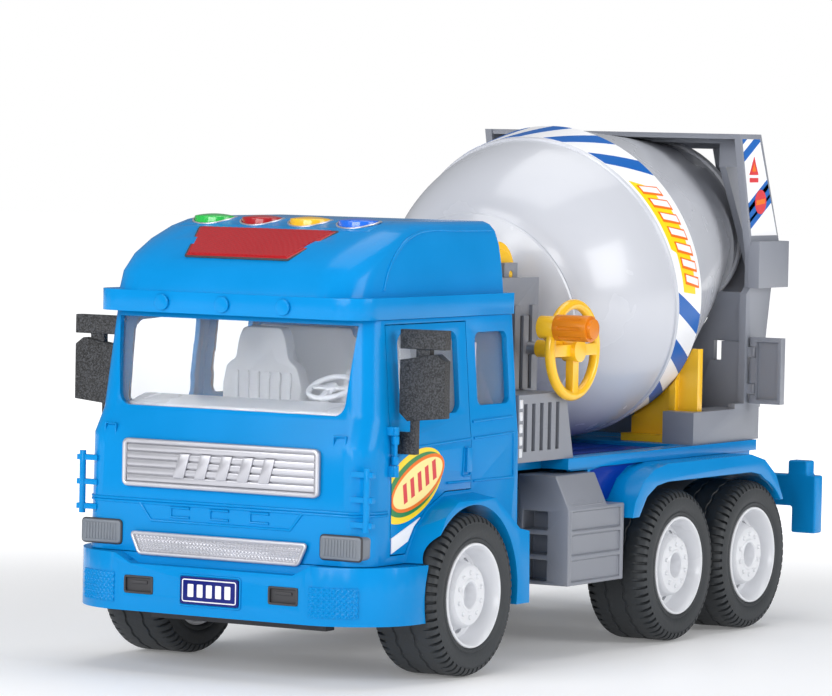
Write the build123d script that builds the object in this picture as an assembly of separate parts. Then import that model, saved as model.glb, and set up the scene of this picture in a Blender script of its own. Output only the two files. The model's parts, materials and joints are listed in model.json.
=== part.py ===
from build123d import *
import math
import os

# Toy cement mixer truck. Millimetres, +Z up, nose towards -Y, the truck's left side towards +X.
# Lengths along Y are given as distances behind the front axle; save() moves every piece by
# FRONT_AXLE_Y, so that the finished truck stands on Z = 0, centred over the origin.

# Driving dimensions -------------------------------------------------------------------------
FRONT_AXLE_Y = -118.5
WHEEL_R = 30.0
WHEEL_W = 26.8
WHEEL_OUT = 73.0
RIM_R = 19.4
AXLE_R = 2.0
AXLE_END = 66.0
AXLES = {"front": 0.0, "middle": 159.0, "rear": 222.0}
RUNNING = 0.05
WALL = 2.2

CAB_REAR = 51.6
CAB_CORNER = 10.0
REAR_CORNER = 1.8
CAB_SECTIONS = [(43.3, 61.5, -58.5), (86.0, 61.0, -58.0), (95.0, 60.0, -53.5), (131.0, 57.3, -50.0)]
ARCH_R = 33.0
ARCH_Y = 1.8
DOOR_Y = (-41.0, 16.0)
DOOR_TOP = 129.5
DOOR_GAP = 0.4
DOOR_HINGE = (62.9, -40.8)
VISOR_X = 58.2
ROOF_Z = 139.0
ROOF_TOP = 165.5
BUTTON_X = {"green": -31.5, "red": -10.5, "yellow": 10.5, "blue": 31.5}
BUTTON_Y = -18.0
BUTTON_R = 7.6
BUTTON_TRAVEL = 1.5
DOME_RISE = 0.9

DRUM_CENTRE = (0.0, 173.0, 136.5)
DRUM_TILT = 13.2
DRUM_R = 62.0
DRUM_BAND = 20.0
DRUM_MOUTH_S = 106.4
DRUM_MOUTH_R = 34.3
DRUM_FRONT_S = -47.4
DRUM_FRONT_R = 42.6
DRUM_WALL = 2.2
DRUM_SHAFT_R = 3.0
CROWN_TEETH = 24
CROWN_R = 12.0
PINION_TEETH = 12
PINION_R = CROWN_R * PINION_TEETH / CROWN_TEETH
TOOTH_W = 1.1

CRANK_Y = 88.0
CRANK_Z = DRUM_CENTRE[2] - (DRUM_CENTRE[1] - CRANK_Y) * math.tan(math.radians(DRUM_TILT))
CRANK_X = 62.5
CRANK_R = 17.4
CRANK_TUBE = 2.0
CRANK_SHAFT_R = 2.5
KNOB_TURN = 150.0
KNOB_ARM = 18.0
KNOB_R = 5.0
KNOB_END = 80.5
TOP_WHEEL = (29.0, 84.0, 144.5)
TOP_WHEEL_R = 12.5

DECK_TOP = 75.0
TOWER_X = 60.0
FLAP_HINGE = (62.2, 239.85)
FLAP_Z = (90.0, 117.0)
CHUTE_PIVOT_Y = 262.0
CHUTE_PIN_R = 2.5
PIN_R = 0.7

parts = {}


# Helpers ------------------------------------------------------------------------------------
def block(x0, x1, y0, y1, z0, z1):
    centre = Pos((x0 + x1) / 2, (y0 + y1) / 2, (z0 + z1) / 2)
    return centre * Box(abs(x1 - x0), abs(y1 - y0), abs(z1 - z0))


def rod_x(x0, x1, y, z, r):
    return Pos((x0 + x1) / 2, y, z) * Rot(0, 90, 0) * Cylinder(r, abs(x1 - x0))


def rod_y(y0, y1, x, z, r):
    return Pos(x, (y0 + y1) / 2, z) * Rot(90, 0, 0) * Cylinder(r, abs(y1 - y0))


def rod_z(z0, z1, x, y, r):
    return Pos(x, y, (z0 + z1) / 2) * Cylinder(r, abs(z1 - z0))


def slab_x(points, x0, x1):
    """A flat slab between two X planes, from (y, z) corners."""
    outline = Wire.make_polygon([(x0, y, z) for y, z in points], close=True)
    return extrude(Face(outline), amount=x1 - x0, dir=(1, 0, 0))


def slab_y(points, y0, y1):
    """A flat slab between two Y planes, from (x, z) corners."""
    outline = Wire.make_polygon([(x, y0, z) for x, z in points], close=True)
    return extrude(Face(outline), amount=y1 - y0, dir=(0, 1, 0))


def both(shape):
    """A piece and its mirror image on the other side of the truck."""
    return shape + mirror(shape, about=Plane.YZ)


def pair(shape):
    """Left and right copies kept as two separate solids."""
    return Compound(children=[*shape.solids(), *mirror(shape, about=Plane.YZ).solids()])


def group(shapes):
    return Compound(children=[solid for shape in shapes for solid in shape.solids()])


def rounded_plan(half_width, front, rear, radius, z):
    sketch = RectangleRounded(2 * half_width, rear - front, radius)
    return Pos(0, (front + rear) / 2, z) * sketch


def cab_plan(half_width, front, rear, radius, z, rear_radius=REAR_CORNER):
    """A plan with well rounded front corners and nearly square rear ones."""
    sketch = Pos(0, (front + rear) / 2, z) * Rectangle(2 * half_width, rear - front)
    corners = sketch.vertices().sort_by(Axis.Y)
    sketch = fillet(corners[:2], radius)
    return fillet(sketch.vertices().sort_by(Axis.Y)[-2:], rear_radius)


def along_drum(shape):
    """Place a shape built about +Z, with Z = 0 at the drum's ridge, on the drum's axis."""
    return Pos(*DRUM_CENTRE) * Rot(DRUM_TILT - 90, 0, 0) * shape


def spun(points):
    """A solid of revolution about +Z from (distance along the axis, radius) corners."""
    outline = Wire.make_polygon([(r, 0, s) for s, r in points], close=True)
    return revolve(Face(outline), axis=Axis.Z)


def save(name, shape):
    solids = shape.solids()
    moved = [Pos(0, FRONT_AXLE_Y, 0) * solid for solid in solids]
    parts[name] = moved[0] if len(moved) == 1 else Compound(children=moved)


# Wheels and axles ---------------------------------------------------------------------------
def tyre():
    half = WHEEL_W / 2
    side = [(-half, RIM_R), (-half, 26.5), (-half + 1.5, 28.8), (-half + 3.5, WHEEL_R), (-4.6, WHEEL_R)]
    left = side + [(-4.6, WHEEL_R - 1.2), (-3.4, WHEEL_R - 1.2), (-3.4, WHEEL_R)]
    right = [(-s, r) for s, r in reversed(left)]
    return spun(left + right)


def rim():
    half = WHEEL_W / 2
    body = spun([(-half + 1.5, 0), (-half + 1.5, RIM_R), (half - 0.3, RIM_R), (half - 0.3, 17.8),
                 (half - 6.0, 16.4), (half - 6.0, 0)])
    body += spun([(half - 6.0, 0), (half - 6.0, 9.0), (half - 2.4, 7.6), (half - 2.4, 0)])
    body -= spun([(half - 4.4, 0), (half - 4.4, 4.2), (half, 4.6), (half, 0)])
    body -= spun([(-half, 4.5), (-half, 17.2), (half - 11.0, 17.2), (half - 11.0, 4.5)])
    for turn in range(0, 360, 45):
        body -= Rot(0, 0, turn) * Pos(13.0, 0, half - 7.0) * Cylinder(1.3, 3.0)
    socket_depth = AXLE_END - WHEEL_OUT + WHEEL_W
    return body - Pos(0, 0, (AXLE_END - WHEEL_OUT) / 2 - 1) * Cylinder(AXLE_R, socket_depth + 2)


def on_axle(shape, y):
    right_hand = Pos(WHEEL_OUT - WHEEL_W / 2, y, WHEEL_R) * Rot(0, 90, 0) * shape
    return pair(right_hand)


for axle, axle_y in AXLES.items():
    save(axle + "_axle", rod_x(-AXLE_END, AXLE_END, axle_y, WHEEL_R, AXLE_R))
    save(axle + "_rims", on_axle(rim(), axle_y))
    save(axle + "_tyres", on_axle(tyre(), axle_y))

# Chassis ------------------------------------------------------------------------------------
chassis = block(-34, 34, -50, 278, 40, 43)
chassis += both(block(30, 34, -50, 281, 36, 70.8))
chassis -= both(block(29, 35, -51, 52, 61.0, 71))
chassis += block(-38, 38, -46, -40, 18, 43)
chassis += block(-34, 34, 272, 278, 43, 62)
for axle_y in AXLES.values():
    chassis += both(block(26, 34, axle_y - 6, axle_y + 6, 24, 41))
    chassis -= rod_x(-40, 40, axle_y, WHEEL_R, AXLE_R + RUNNING)
save("chassis_frame", chassis)

battery_box = block(-24, 24, 44, 98, 17, 40) - block(-22, 22, 46, 96, 16, 38)
save("battery_box", battery_box)
save("battery_cover", block(-21.8, 21.8, 46.2, 95.8, 17, 18.8))
save("batteries", group([rod_y(46.2, 95.8, x, 27.0, 7.0) for x in (-14.4, 0, 14.4)]))

# Cab shell ----------------------------------------------------------------------------------
def cab_solid(inset):
    faces = []
    for z, half_width, front in CAB_SECTIONS:
        faces.append(cab_plan(half_width - inset, front + inset, CAB_REAR - inset, CAB_CORNER - inset, z))
    lower = loft(Sketch() + [faces[0], faces[1]], ruled=True)
    middle = loft(Sketch() + [faces[1], faces[2]], ruled=True)
    upper = loft(Sketch() + [faces[2], faces[3]], ruled=True)
    return lower + middle + upper


def window(y0, y1, z0, z1, radius, grow=0.0):
    """A side window's prism, through the left wall."""
    outline = RectangleRounded(y1 - y0 + 2 * grow, z1 - z0 + 2 * grow, radius + grow)
    plane = Plane(origin=(45, (y0 + y1) / 2, (z0 + z1) / 2), x_dir=(0, 1, 0), z_dir=(1, 0, 0))
    return extrude(plane * outline, amount=30)


def windscreen_hole(grow=0.0):
    low = 96.5 - grow
    high = 129.0 + grow
    shape = slab_y([(-48.5 - grow, low), (48.5 + grow, low), (51.6 + grow, high), (-51.6 - grow, high)],
                   -75, -35)
    corners = shape.edges().filter_by(Axis.Y).sort_by(Axis.Z)[:2]
    return fillet(corners, 5.0)


cab_outer = cab_solid(0)
cab_inner = cab_solid(WALL)
cab_glass = cab_inner - cab_solid(WALL + 1.2)
door_edge = Wire.make_polygon([(45, DOOR_Y[0], DOOR_TOP), (45, DOOR_Y[1], DOOR_TOP), (45, DOOR_Y[1], 67.4),
                               (45, -2.5, 67.4), (45, -15.0, 62.3), (45, -24.3, 55.4), (45, -30.4, 46.4),
                               (45, DOOR_Y[0], 46.4)], close=True)
door_prism = extrude(Face(door_edge), amount=30, dir=(1, 0, 0))
door_panel_prism = extrude(Face(door_edge.offset_2d(-DOOR_GAP, Kind.INTERSECTION)), amount=30, dir=(1, 0, 0))
door_window = (-33.0, 9.0, 96.0, 126.0)
quarter_window = (22.0, 45.5, 98.0, 125.0)
arches = both(rod_x(45, 90, ARCH_Y, WHEEL_R, ARCH_R))

# The front wing: its edge on the cab's side and its smaller edge on the outer face.
wing_inner = [(-31, 43.3), (-24, 54.5), (-15, 61.3), (-2.5, 66.2), (16.8, 66.7), (31, 63.5), (43, 54),
              (46, 51.2), (46.4, 24), (30, 24)]
wing_outer = [(-27.5, 43.3), (-18, 59.3), (-13.3, 62.3), (-8.7, 64.6), (17.7, 64.6), (28.6, 57.2),
              (36.1, 52.1), (43, 50.9), (43.9, 24), (30, 24)]
wing_faces = [Face(Wire.make_polygon([(x, y, z) for y, z in outline], close=True))
              for x, outline in ((59.0, wing_inner), (71.0, wing_outer))]
fender = loft(wing_faces, ruled=True)
cab = cab_outer - cab_inner
cab += both(fender)
cab -= both(door_prism)
cab -= windscreen_hole()
cab -= both(window(*quarter_window, 3.0))
cab -= arches
cab -= cab_inner
cab -= block(-36, 36, 40, 60, 40, 62)
for z0, z1 in ((75.0, 79.0), (90.0, 93.0)):
    knuckle = rod_z(z0, z1, *DOOR_HINGE, 1.3) + block(60.0, 62.9, -42.8, -41.3, z0, z1)
    cab += both(knuckle)
cab += both(rod_z(75.0, 93.0, *DOOR_HINGE, PIN_R))
rail = rod_z(56, 79, 61.6, -57.8, 1.2)
for z in (58.5, 67.5, 76.5):
    rail += block(55, 64, -58.2, -55.8, z - 1, z + 1)
cab += both(rail - cab_outer)
save("cab_shell", cab.solids().sort_by(SortBy.VOLUME)[-1])
save("cab_windows", group([cab_glass & windscreen_hole(1.5),
                           pair(cab_glass & window(*quarter_window, 3.0, 1.5))]))

for side, name in ((1, "left"), (-1, "right")):
    panel = (cab_outer - cab_inner) & door_panel_prism
    panel -= window(*door_window, 4.0)
    panel += block(60.3, 62.6, 10.6, 14.2, 74.0, 83.0) - cab_inner
    for z0, z1 in ((79.3, 82.3), (86.7, 89.7)):
        panel += rod_z(z0, z1, *DOOR_HINGE, 1.3) + block(59.8, 62.9, -40.5, -39.0, z0, z1)
        panel -= rod_z(z0 - 0.2, z1 + 0.2, *DOOR_HINGE, PIN_R + RUNNING)
    glass = cab_glass & window(*door_window, 4.0, 1.5)
    bracket = block(60.0, 68.5, -36.4, -33.6, 83, 91) - cab_outer
    mirror_body = bracket + block(66.0, 68.5, -36.4, -33.6, 83, 97)
    head = slab_y([(61.6, 98), (65, 95), (80.5, 96.5), (80.5, 117), (77, 119.5), (61.6, 117)], -37, -33)
    upper = block(61.6, 80.5, -37, -33, 121, 128)
    mirror_body += head + upper + block(68, 74, -36.4, -33.6, 118, 122)
    if side < 0:
        panel = mirror(panel, about=Plane.YZ)
        glass = mirror(glass, about=Plane.YZ)
        mirror_body = mirror(mirror_body, about=Plane.YZ)
    save("door_" + name, panel)
    save("door_window_" + name, glass)
    save("mirror_" + name, mirror_body)

# Cab roof and its lights --------------------------------------------------------------------
# Each section of the roof pod: height, half-width and the place of its front.
ROOF_SECTIONS = [(139.0, 53.3, -59.0), (145.6, 53.1, -56.8), (151.8, 52.6, -50.6), (157.2, 51.9, -41.0),
                 (161.9, 50.4, -29.8), (164.4, 48.2, -22.0), (ROOF_TOP, 45.4, -16.5)]
ROOF_CORNER_R = 16.0


def roof_solid(inset):
    """The roof pod, lofted through rounded plans that draw in towards the top."""
    faces = []
    for z, half_width, front in ROOF_SECTIONS:
        lean = (z - ROOF_Z) / (ROOF_TOP - ROOF_Z)
        height = max(ROOF_Z - 5, z - inset * (0.8 + 0.2 * lean)) if inset else z
        rear = CAB_REAR - 2.5 * lean - inset
        faces.append(cab_plan(half_width - inset, front + inset, rear, ROOF_CORNER_R - inset, height))
    pod = loft(Sketch() + faces[:2], ruled=True)
    for below, above in zip(faces[1:], faces[2:]):
        pod += loft(Sketch() + [below, above], ruled=True)
    return pod


roof = roof_solid(0) - roof_solid(WALL)
roof -= extrude(cab_plan(53.3 - WALL, -59 + WALL, CAB_REAR - WALL, ROOF_CORNER_R - WALL, 134), amount=4.0)
visor = extrude(cab_plan(VISOR_X, -59.7, CAB_REAR, 12, 131.2), amount=ROOF_Z - 131.2)
visor -= extrude(cab_plan(VISOR_X - WALL, -59.7 + WALL, CAB_REAR - WALL, 12 - WALL, 129), amount=8.2)
visor -= extrude(rounded_plan(50, -55, CAB_REAR - WALL, 8, 129), amount=20)
button_bay = block(-41.5, 41.5, BUTTON_Y - 9.2, BUTTON_Y + 9.2, 161.2, 167.0)
bezel = roof_solid(0) & button_bay
slope = math.degrees(math.atan2(10, 21))
lens_frame = Plane(origin=(0, -40.5, 156.6), x_dir=(1, 0, 0), z_dir=(0, -math.sin(math.radians(slope)),
                                                                   math.cos(math.radians(slope))))
lens_outline = Polyline((-22, -11.6), (22, -11.6), (30, 11.6), (-30, 11.6), close=True)
lens = extrude(lens_frame * make_face(lens_outline), amount=0.6)
lens += extrude(lens_frame * make_face(lens_outline), amount=-1.8)
roof = roof + visor - button_bay - lens
for x in BUTTON_X.values():
    roof -= rod_z(150, 161.2, x, BUTTON_Y, BUTTON_R + 0.3)
save("cab_roof", roof)
save("roof_light_lens", lens)
for x in BUTTON_X.values():
    bezel -= rod_z(160, 168, x, BUTTON_Y, BUTTON_R + 0.3)
save("button_bezel", bezel)
for colour, x in BUTTON_X.items():
    cap = rod_z(158.6, 165.9, x, BUTTON_Y, BUTTON_R)
    dome_r = (BUTTON_R ** 2 + DOME_RISE ** 2) / (2 * DOME_RISE)
    dome = Pos(x, BUTTON_Y, 165.9 + DOME_RISE - dome_r) * Sphere(dome_r)
    dome &= block(x - 9, x + 9, -30, -5, 165.9, 172)
    save("button_" + colour, cap + dome + rod_z(155.1 + BUTTON_TRAVEL, 158.8, x, BUTTON_Y, 2.0))
save("marker_lamps", group([rod_y(-61.0, -59.7, x, 135.0, 3.0) for x in (-26.2, 0, 26.2)]))
board = block(-43, 43, -28, -2, 150.0, 151.6)
for x in BUTTON_X.values():
    board += block(x - 3, x + 3, BUTTON_Y - 3, BUTTON_Y + 3, 151.6, 154.6)
board += both(block(43, 50.0, -12, -6, 150.0, 151.6))
save("circuit_board", board)
save("speaker", rod_z(151.6, 157.0, 0, 16.0, 13.0) + block(-10, 10, -2.5, 8, 151.6, 152.6))

# Cab front ----------------------------------------------------------------------------------
grille = block(-42.6, 42.6, -60.2, -57.9, 67.2, 84.8)
for row in range(5):
    z = 69.6 + row * 2.9
    grille -= block(-40.4, 40.4, -61, -59.3, z, z + 1.7)
save("radiator_grille", grille - cab_outer)
mesh_panel = slab_y([(-34.5, 43.0), (34.5, 43.0), (37.7, 50.4), (-37.7, 50.4)], -61.2, -58)
save("lower_grille", mesh_panel - cab_outer - block(-50, 50, -59.0, -50, 30, 43.3))
headlight = block(42.6, 61.0, -60.0, -48, 45.2, 54.6) - cab_outer
save("headlights", pair(headlight))

bumper_outer = extrude(rounded_plan(70.5, -64.5, 40, 30, 22), amount=21)
bumper_inner = extrude(rounded_plan(70.5 - 2.5, -62, 40, 27.5, 20), amount=20.5)
bumper = bumper_outer - bumper_inner - block(-80, 80, -29, 60, 10, 50)
bumper -= both(rod_x(40, 90, ARCH_Y, WHEEL_R, ARCH_R))
bumper -= block(-38.5, 38.5, -50.5, -28, 36, 50)
bumper -= slab_y([(-43, 43.5), (-35, 39.3), (35, 39.3), (43, 43.5)], -66, -59.0)
ledge = [(-43, 43), (-35, 39.3), (35, 39.3), (43, 43), (43, 40.6), (36, 37.0), (-36, 37.0), (-43, 40.6)]
bumper += slab_y(ledge, -64.5, -59.0) + slab_y([(-43, 43), (-36, 37), (36, 37), (43, 43)], -59.0, -57.4)
vents = both(block(25.0, 37.6, -65.0, -63.2, 28.5, 35.0))
bumper -= vents
save("front_bumper", bumper)
save("fog_vents", pair(block(25.0, 37.6, -64.9, -63.2, 28.5, 35.0)))
save("number_plate", block(-12.5, 12.5, -65.5, -64.5, 26.3, 36.2))

# Cab interior -------------------------------------------------------------------------------
tub = block(-52, 52, -48, 41, 66.2, 68.2) + block(-48, 48, 39, 41, 66.2, 120)
tub += slab_x([(-48, 66.2), (-34, 66.2), (-38, 93.5), (-48, 94.5)], -52, 52)
tub -= slab_x([(-49, 64), (-36.5, 64), (-40, 91), (-49, 92)], -50, 50)
save("cab_interior", tub)
seat = slab_x([(-13, 68.2), (14, 68.2), (16.5, 121), (14, 124), (10, 124), (6.5, 84), (-11, 84), (-13, 81)],
              8.5, 43.5)
for x in range(13, 41, 6):
    seat -= block(x - 0.8, x + 0.8, 3, 9.2, 86, 118)
save("seats", pair(seat))
steer_tilt = Pos(26, -29.5, 104) * Rot(62, 0, 0)
steering = steer_tilt * Torus(9.0, 1.1)
steering += steer_tilt * Cylinder(2.4, 2.0)
steering += steer_tilt * Box(18, 2.2, 1.4)
steering += steer_tilt * Pos(0, 0, -8.5) * Cylinder(1.5, 17)
save("steering_wheel", steering - slab_x([(-48, 66.2), (-34, 66.2), (-38, 93.5), (-48, 94.5)], -52, 52))

# Engine cover behind the cab and the drum drive in it ---------------------------------------
base_box = slab_x([(52.2, DECK_TOP), (94.6, DECK_TOP), (88, 100.5), (52.2, 100.5)], -60, 60)
base_box -= block(-58, 58, 54, 86, DECK_TOP - 1, 98.5)
for slot in range(5):
    y = 56.2 + slot * 6.1
    base_box -= both(block(56, 61, y, y + 2.6, 79, 97))
save("engine_cover", base_box)

housing = block(-42, 42, 55, 97, 100.5, 143.5) - block(-40, 40, 57, 95, 99, 141.5)
housing += block(-42, 42, 88, 97, DECK_TOP, 101) - block(-40, 40, 90, 95, DECK_TOP - 1, 102)
housing -= slab_x([(80, DECK_TOP - 1), (94.86, DECK_TOP - 1), (88, 100.5), (80, 100.5)], -60, 60)
for rib in range(6):
    y = 57.0 + rib * 6.6
    housing += both(block(42, 43.4, y, y + 4.0, 101, 129 + 4 * (rib % 2)))
housing += block(18, 21, 78, 95, 106, 126)
housing -= rod_x(15, 45, CRANK_Y, CRANK_Z, CRANK_SHAFT_R + RUNNING)
housing -= along_drum(Pos(0, 0, -80) * Cylinder(DRUM_SHAFT_R + RUNNING, 14))
wheel_x, wheel_y, wheel_z = TOP_WHEEL
housing -= block(wheel_x - 5, wheel_x + 5, wheel_y - 11, wheel_y + 11, 130, 150)
housing -= block(wheel_x - 5, wheel_x + 5, wheel_y - 13.3, wheel_y + 13.3, 136, 150)
cheeks = block(wheel_x - 8, wheel_x - 5, wheel_y - 5, wheel_y + 5, 135, 149)
cheeks += block(wheel_x + 5, wheel_x + 8, wheel_y - 5, wheel_y + 5, 135, 149)
housing += cheeks
housing -= rod_x(wheel_x - 9, wheel_x + 9, wheel_y, wheel_z, 1.5 + RUNNING)
save("drive_housing", housing)
disc = rod_x(wheel_x - 4, wheel_x + 2.4, wheel_y, wheel_z, TOP_WHEEL_R)
disc += rod_x(wheel_x + 2, wheel_x + 4.4, wheel_y, wheel_z, 9.4)
disc += rod_x(wheel_x - 8, wheel_x + 8, wheel_y, wheel_z, 1.5)
save("top_wheel", disc)

shaft = rod_x(10.5, CRANK_X + 3, CRANK_Y, CRANK_Z, CRANK_SHAFT_R)
shaft += rod_x(11.3, 12.7, CRANK_Y, CRANK_Z, PINION_R - 1.4)
tooth = Pos(12.0, 0, -(PINION_R - 0.4)) * Box(1.4, TOOTH_W, 2.8)
for count in range(PINION_TEETH):
    turn = count * 360 / PINION_TEETH + DRUM_TILT + 90
    shaft += Pos(0, CRANK_Y, CRANK_Z) * Rot(turn, 0, 0) * tooth
save("crank_shaft", shaft)

ring = Pos(CRANK_X, CRANK_Y, CRANK_Z) * Rot(0, 90, 0) * Torus(CRANK_R, CRANK_TUBE)
hub = rod_x(CRANK_X - 3, CRANK_X + 3.5, CRANK_Y, CRANK_Z, 4.5)
for turn in (0, 90, 180):
    spoke = Pos(0, 0, CRANK_R / 2 + 1) * Box(3.2, 4.4, CRANK_R - 2)
    hub += Pos(CRANK_X, CRANK_Y, CRANK_Z) * Rot(90 - turn, 0, 0) * Rot(180, 0, 0) * spoke
knob_y = CRANK_Y + KNOB_ARM * math.cos(math.radians(KNOB_TURN))
knob_z = CRANK_Z + KNOB_ARM * math.sin(math.radians(KNOB_TURN))
hub += rod_x(CRANK_X - 15, CRANK_X, CRANK_Y, CRANK_Z, 3.4)
crank_arm = Pos(-3.6, 0, KNOB_ARM / 2) * Box(2.8, 6.4, KNOB_ARM)
hub += Pos(CRANK_X, CRANK_Y, CRANK_Z) * Rot(KNOB_TURN - 90, 0, 0) * crank_arm
hub -= rod_x(CRANK_X - 16, CRANK_X + 3, CRANK_Y, CRANK_Z, CRANK_SHAFT_R)
crank_wheel = ring + hub + rod_x(CRANK_X - 5.0, CRANK_X + 2.2, knob_y, knob_z, 4.4)
save("crank_wheel", crank_wheel)
knob = rod_x(CRANK_X + 2.2, KNOB_END - 1.5, knob_y, knob_z, KNOB_R)
knob += rod_x(KNOB_END - 1.6, KNOB_END, knob_y, knob_z, KNOB_R - 1.2)
for count in range(8):
    turn = math.radians(count * 45)
    flute_y = knob_y + 5.4 * math.cos(turn)
    flute_z = knob_z + 5.4 * math.sin(turn)
    knob -= rod_x(CRANK_X + 4.5, KNOB_END - 4, flute_y, flute_z, 0.9)
save("crank_knob", knob)

# Drum ---------------------------------------------------------------------------------------
def drum_outline(inset):
    """(distance along the axis, radius) from the front edge of the shell to its mouth."""
    front = [(DRUM_FRONT_S, DRUM_FRONT_R), (-44.0, 46.8), (-38.0, 51.0), (-30.0, 54.8), (-20.0, 58.0),
             (-10.0, 59.9), (0.0, 60.8)]
    band = [(0.0, DRUM_R), (DRUM_BAND, DRUM_R), (DRUM_BAND, 61.2)]
    rear = [(DRUM_MOUTH_S - 3.0, DRUM_MOUTH_R + 1.0), (DRUM_MOUTH_S - 3.0, DRUM_MOUTH_R + 2.0),
            (DRUM_MOUTH_S, DRUM_MOUTH_R + 2.0)]
    if inset == 0:
        return front + band + rear
    plain = [front[0], *front[1:], (DRUM_BAND, 61.2), (DRUM_MOUTH_S, DRUM_MOUTH_R)]
    return [(s, r - inset) for s, r in plain]


def wall_radius(s):
    slope_r = (61.2 - DRUM_MOUTH_R) / (DRUM_MOUTH_S - DRUM_BAND)
    return 61.2 - DRUM_WALL - slope_r * (s - DRUM_BAND)


shell = spun(drum_outline(0) + drum_outline(DRUM_WALL)[::-1])
save("drum_shell", along_drum(shell))
front_cap = spun([(DRUM_FRONT_S, 0), (DRUM_FRONT_S, DRUM_FRONT_R), (-49.4, DRUM_FRONT_R), (-60, 17),
                  (-64, 13), (-68, 9), (-68, 0)])
front_cap -= spun([(-46, 0), (-46, 39.5), (-49.0, 39.5), (-57.5, 16), (-57.5, 0)])
front_cap -= Pos(0, 0, -62) * Cylinder(DRUM_SHAFT_R, 14)
save("drum_front_cap", along_drum(front_cap))
vane_outline = [(2, wall_radius(DRUM_BAND) - 1.2), (20, wall_radius(20) - 0.1), (98, wall_radius(98) - 0.1),
                (98, wall_radius(98) - 5.5), (20, wall_radius(20) - 11), (2, wall_radius(DRUM_BAND) - 11)]
vane_face = Wire.make_polygon([(r, -0.8, s) for s, r in vane_outline], close=True)
vane = extrude(Face(vane_face), amount=1.6, dir=(0, 1, 0))
save("drum_vanes", group([along_drum(Rot(0, 0, turn) * vane) for turn in range(0, 360, 90)]))

apex_s = -(DRUM_CENTRE[1] - CRANK_Y) / math.cos(math.radians(DRUM_TILT))
drum_shaft = Pos(0, 0, (apex_s - 10 - 55) / 2) * Cylinder(DRUM_SHAFT_R, -55 - apex_s + 10)
crown_back = apex_s - PINION_R - 1.3
drum_shaft += Pos(0, 0, crown_back - 1.25) * Cylinder(CROWN_R + 1.0, 2.5)
crown_tooth = Pos(CROWN_R + 0.1, 0, crown_back + 0.9) * Box(1.8, TOOTH_W, 2.0)
for count in range(CROWN_TEETH):
    drum_shaft += Rot(0, 0, (count + 0.5) * 360 / CROWN_TEETH) * crown_tooth
save("drum_shaft", along_drum(drum_shaft))

# Deck, mudguards and step boxes -------------------------------------------------------------
deck = block(-62, 62, 87.5, 244, 70.8, DECK_TOP) + block(-50, 50, 52.2, 87.5, 70.8, DECK_TOP)
deck -= block(-54, 54, 100, 190, 73.2, DECK_TOP + 1)
apron = [(92, 71), (92, 69.9), (105.3, 69.9), (105.3, 57.3), (121.6, 57.3), (121.6, 71)]
deck += both(slab_x(apron, 58.5, 60.5))
guard_outer = [(119.5, 51), (121.5, 57), (128, 64.5), (137, 69), (148, 70.7), (219, 70.7), (231, 68),
               (241, 61.5), (248, 51)]
guard_inner = [(123, 51), (124.8, 56), (130, 61.6), (138.3, 66), (148, 67.6), (219, 67.6), (229.5, 65),
               (238.3, 59.5), (244.8, 51)]
guard_lip = [(125, 51), (131, 58.5), (139, 62.4), (148, 63.5), (219, 63.5), (227.5, 62.2), (236, 57.5),
             (243.5, 51)]
guard = slab_x(guard_outer + guard_inner[::-1], 37, 73) + slab_x(guard_outer + guard_lip[::-1], 71, 73)
for axle_y in (AXLES["middle"], AXLES["rear"]):
    guard -= rod_x(36, 80, axle_y, WHEEL_R, WHEEL_R + 1.5)
save("mudguards", pair(guard))
skirt = [(y, z + 0.1) for y, z in guard_outer[1:-1]] + [(241, 71), (121.5, 71)]
save("deck", deck + both(slab_x(skirt, 58.5, 60.5)))

step_box = slab_y([(47.5, 27.5), (70, 27.5), (70, 56.5), (64, 69.2), (47.5, 69.2)], 74.4, 118.2)
step_box -= block(40, 80, 104.8, 130, 57.0, 70)
step_box -= block(50, 67.5, 87, 115.7, 26, 54)
for z0, z1 in ((29.0, 37.0), (39.0, 46.5), (48.5, 55.5)):
    step_box -= block(69, 71, 77.4, 115.4, z0, z1)
    step_box -= block(50.0, 60.7, 74, 83, z0, z1)
step_box += both(block(34, 47.5, 80, 90, 55, 62)) & block(0, 60, 70, 100, 50, 70)
save("step_boxes", pair(step_box))

# Rear tower, hood, cradle, flaps and chute --------------------------------------------------
upper_side = [(227.8, 199.5), (237.8, 157), (240, 150), (240, 137.5), (236, 134.5), (236, 88), (250.5, 88),
              (252, 105), (255, 120), (258, 136), (264.2, 155.7), (246, 199.5)]
tower = both(slab_x(upper_side, TOWER_X - 3, TOWER_X))
tower += both(block(TOWER_X - 1, TOWER_X + 4, 239, 265.5, 137, 156))
tower += block(-TOWER_X, TOWER_X, 229, 246, 197.5, 199.5)
gusset = slab_y([(36, DECK_TOP), (TOWER_X - 3, DECK_TOP), (TOWER_X - 3, 115), (48, 115), (48, 107), (43, 107),
                 (36, 88)], 238, 241)
tower += both(gusset)
tower += block(-TOWER_X + 3, TOWER_X - 3, 241, 244, DECK_TOP, 135)
tower -= both(block(43, 48, 240, 245, 107, 115))
tower += both(slab_y([(34, DECK_TOP), (46, DECK_TOP), (46, 98), (39.8, 98), (36, 88), (34, 88)], 238, 244))
tower += both(block(46, TOWER_X, 192.5, 243, DECK_TOP, 88) - block(44, 57.5, 194.8, 226, DECK_TOP + 2, 86))
tower += both(block(TOWER_X - 3, TOWER_X, 228, 249.5, DECK_TOP, 90))
tower -= both(block(44, 57, 199.5, 210.5, DECK_TOP + 2, 90))
tower += block(-9, 9, 243, 266, 86, 92) - rod_z(80, 95, 0, CHUTE_PIVOT_Y, CHUTE_PIN_R + RUNNING)
for z0, z1 in ((94.0, 98.0), (109.0, 113.0)):
    tower += both(rod_z(z0, z1, *FLAP_HINGE, 1.5) + block(59, 61.6, 238.35, 241.35, z0, z1))
tower += both(rod_z(94, 113, *FLAP_HINGE, PIN_R))
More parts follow.
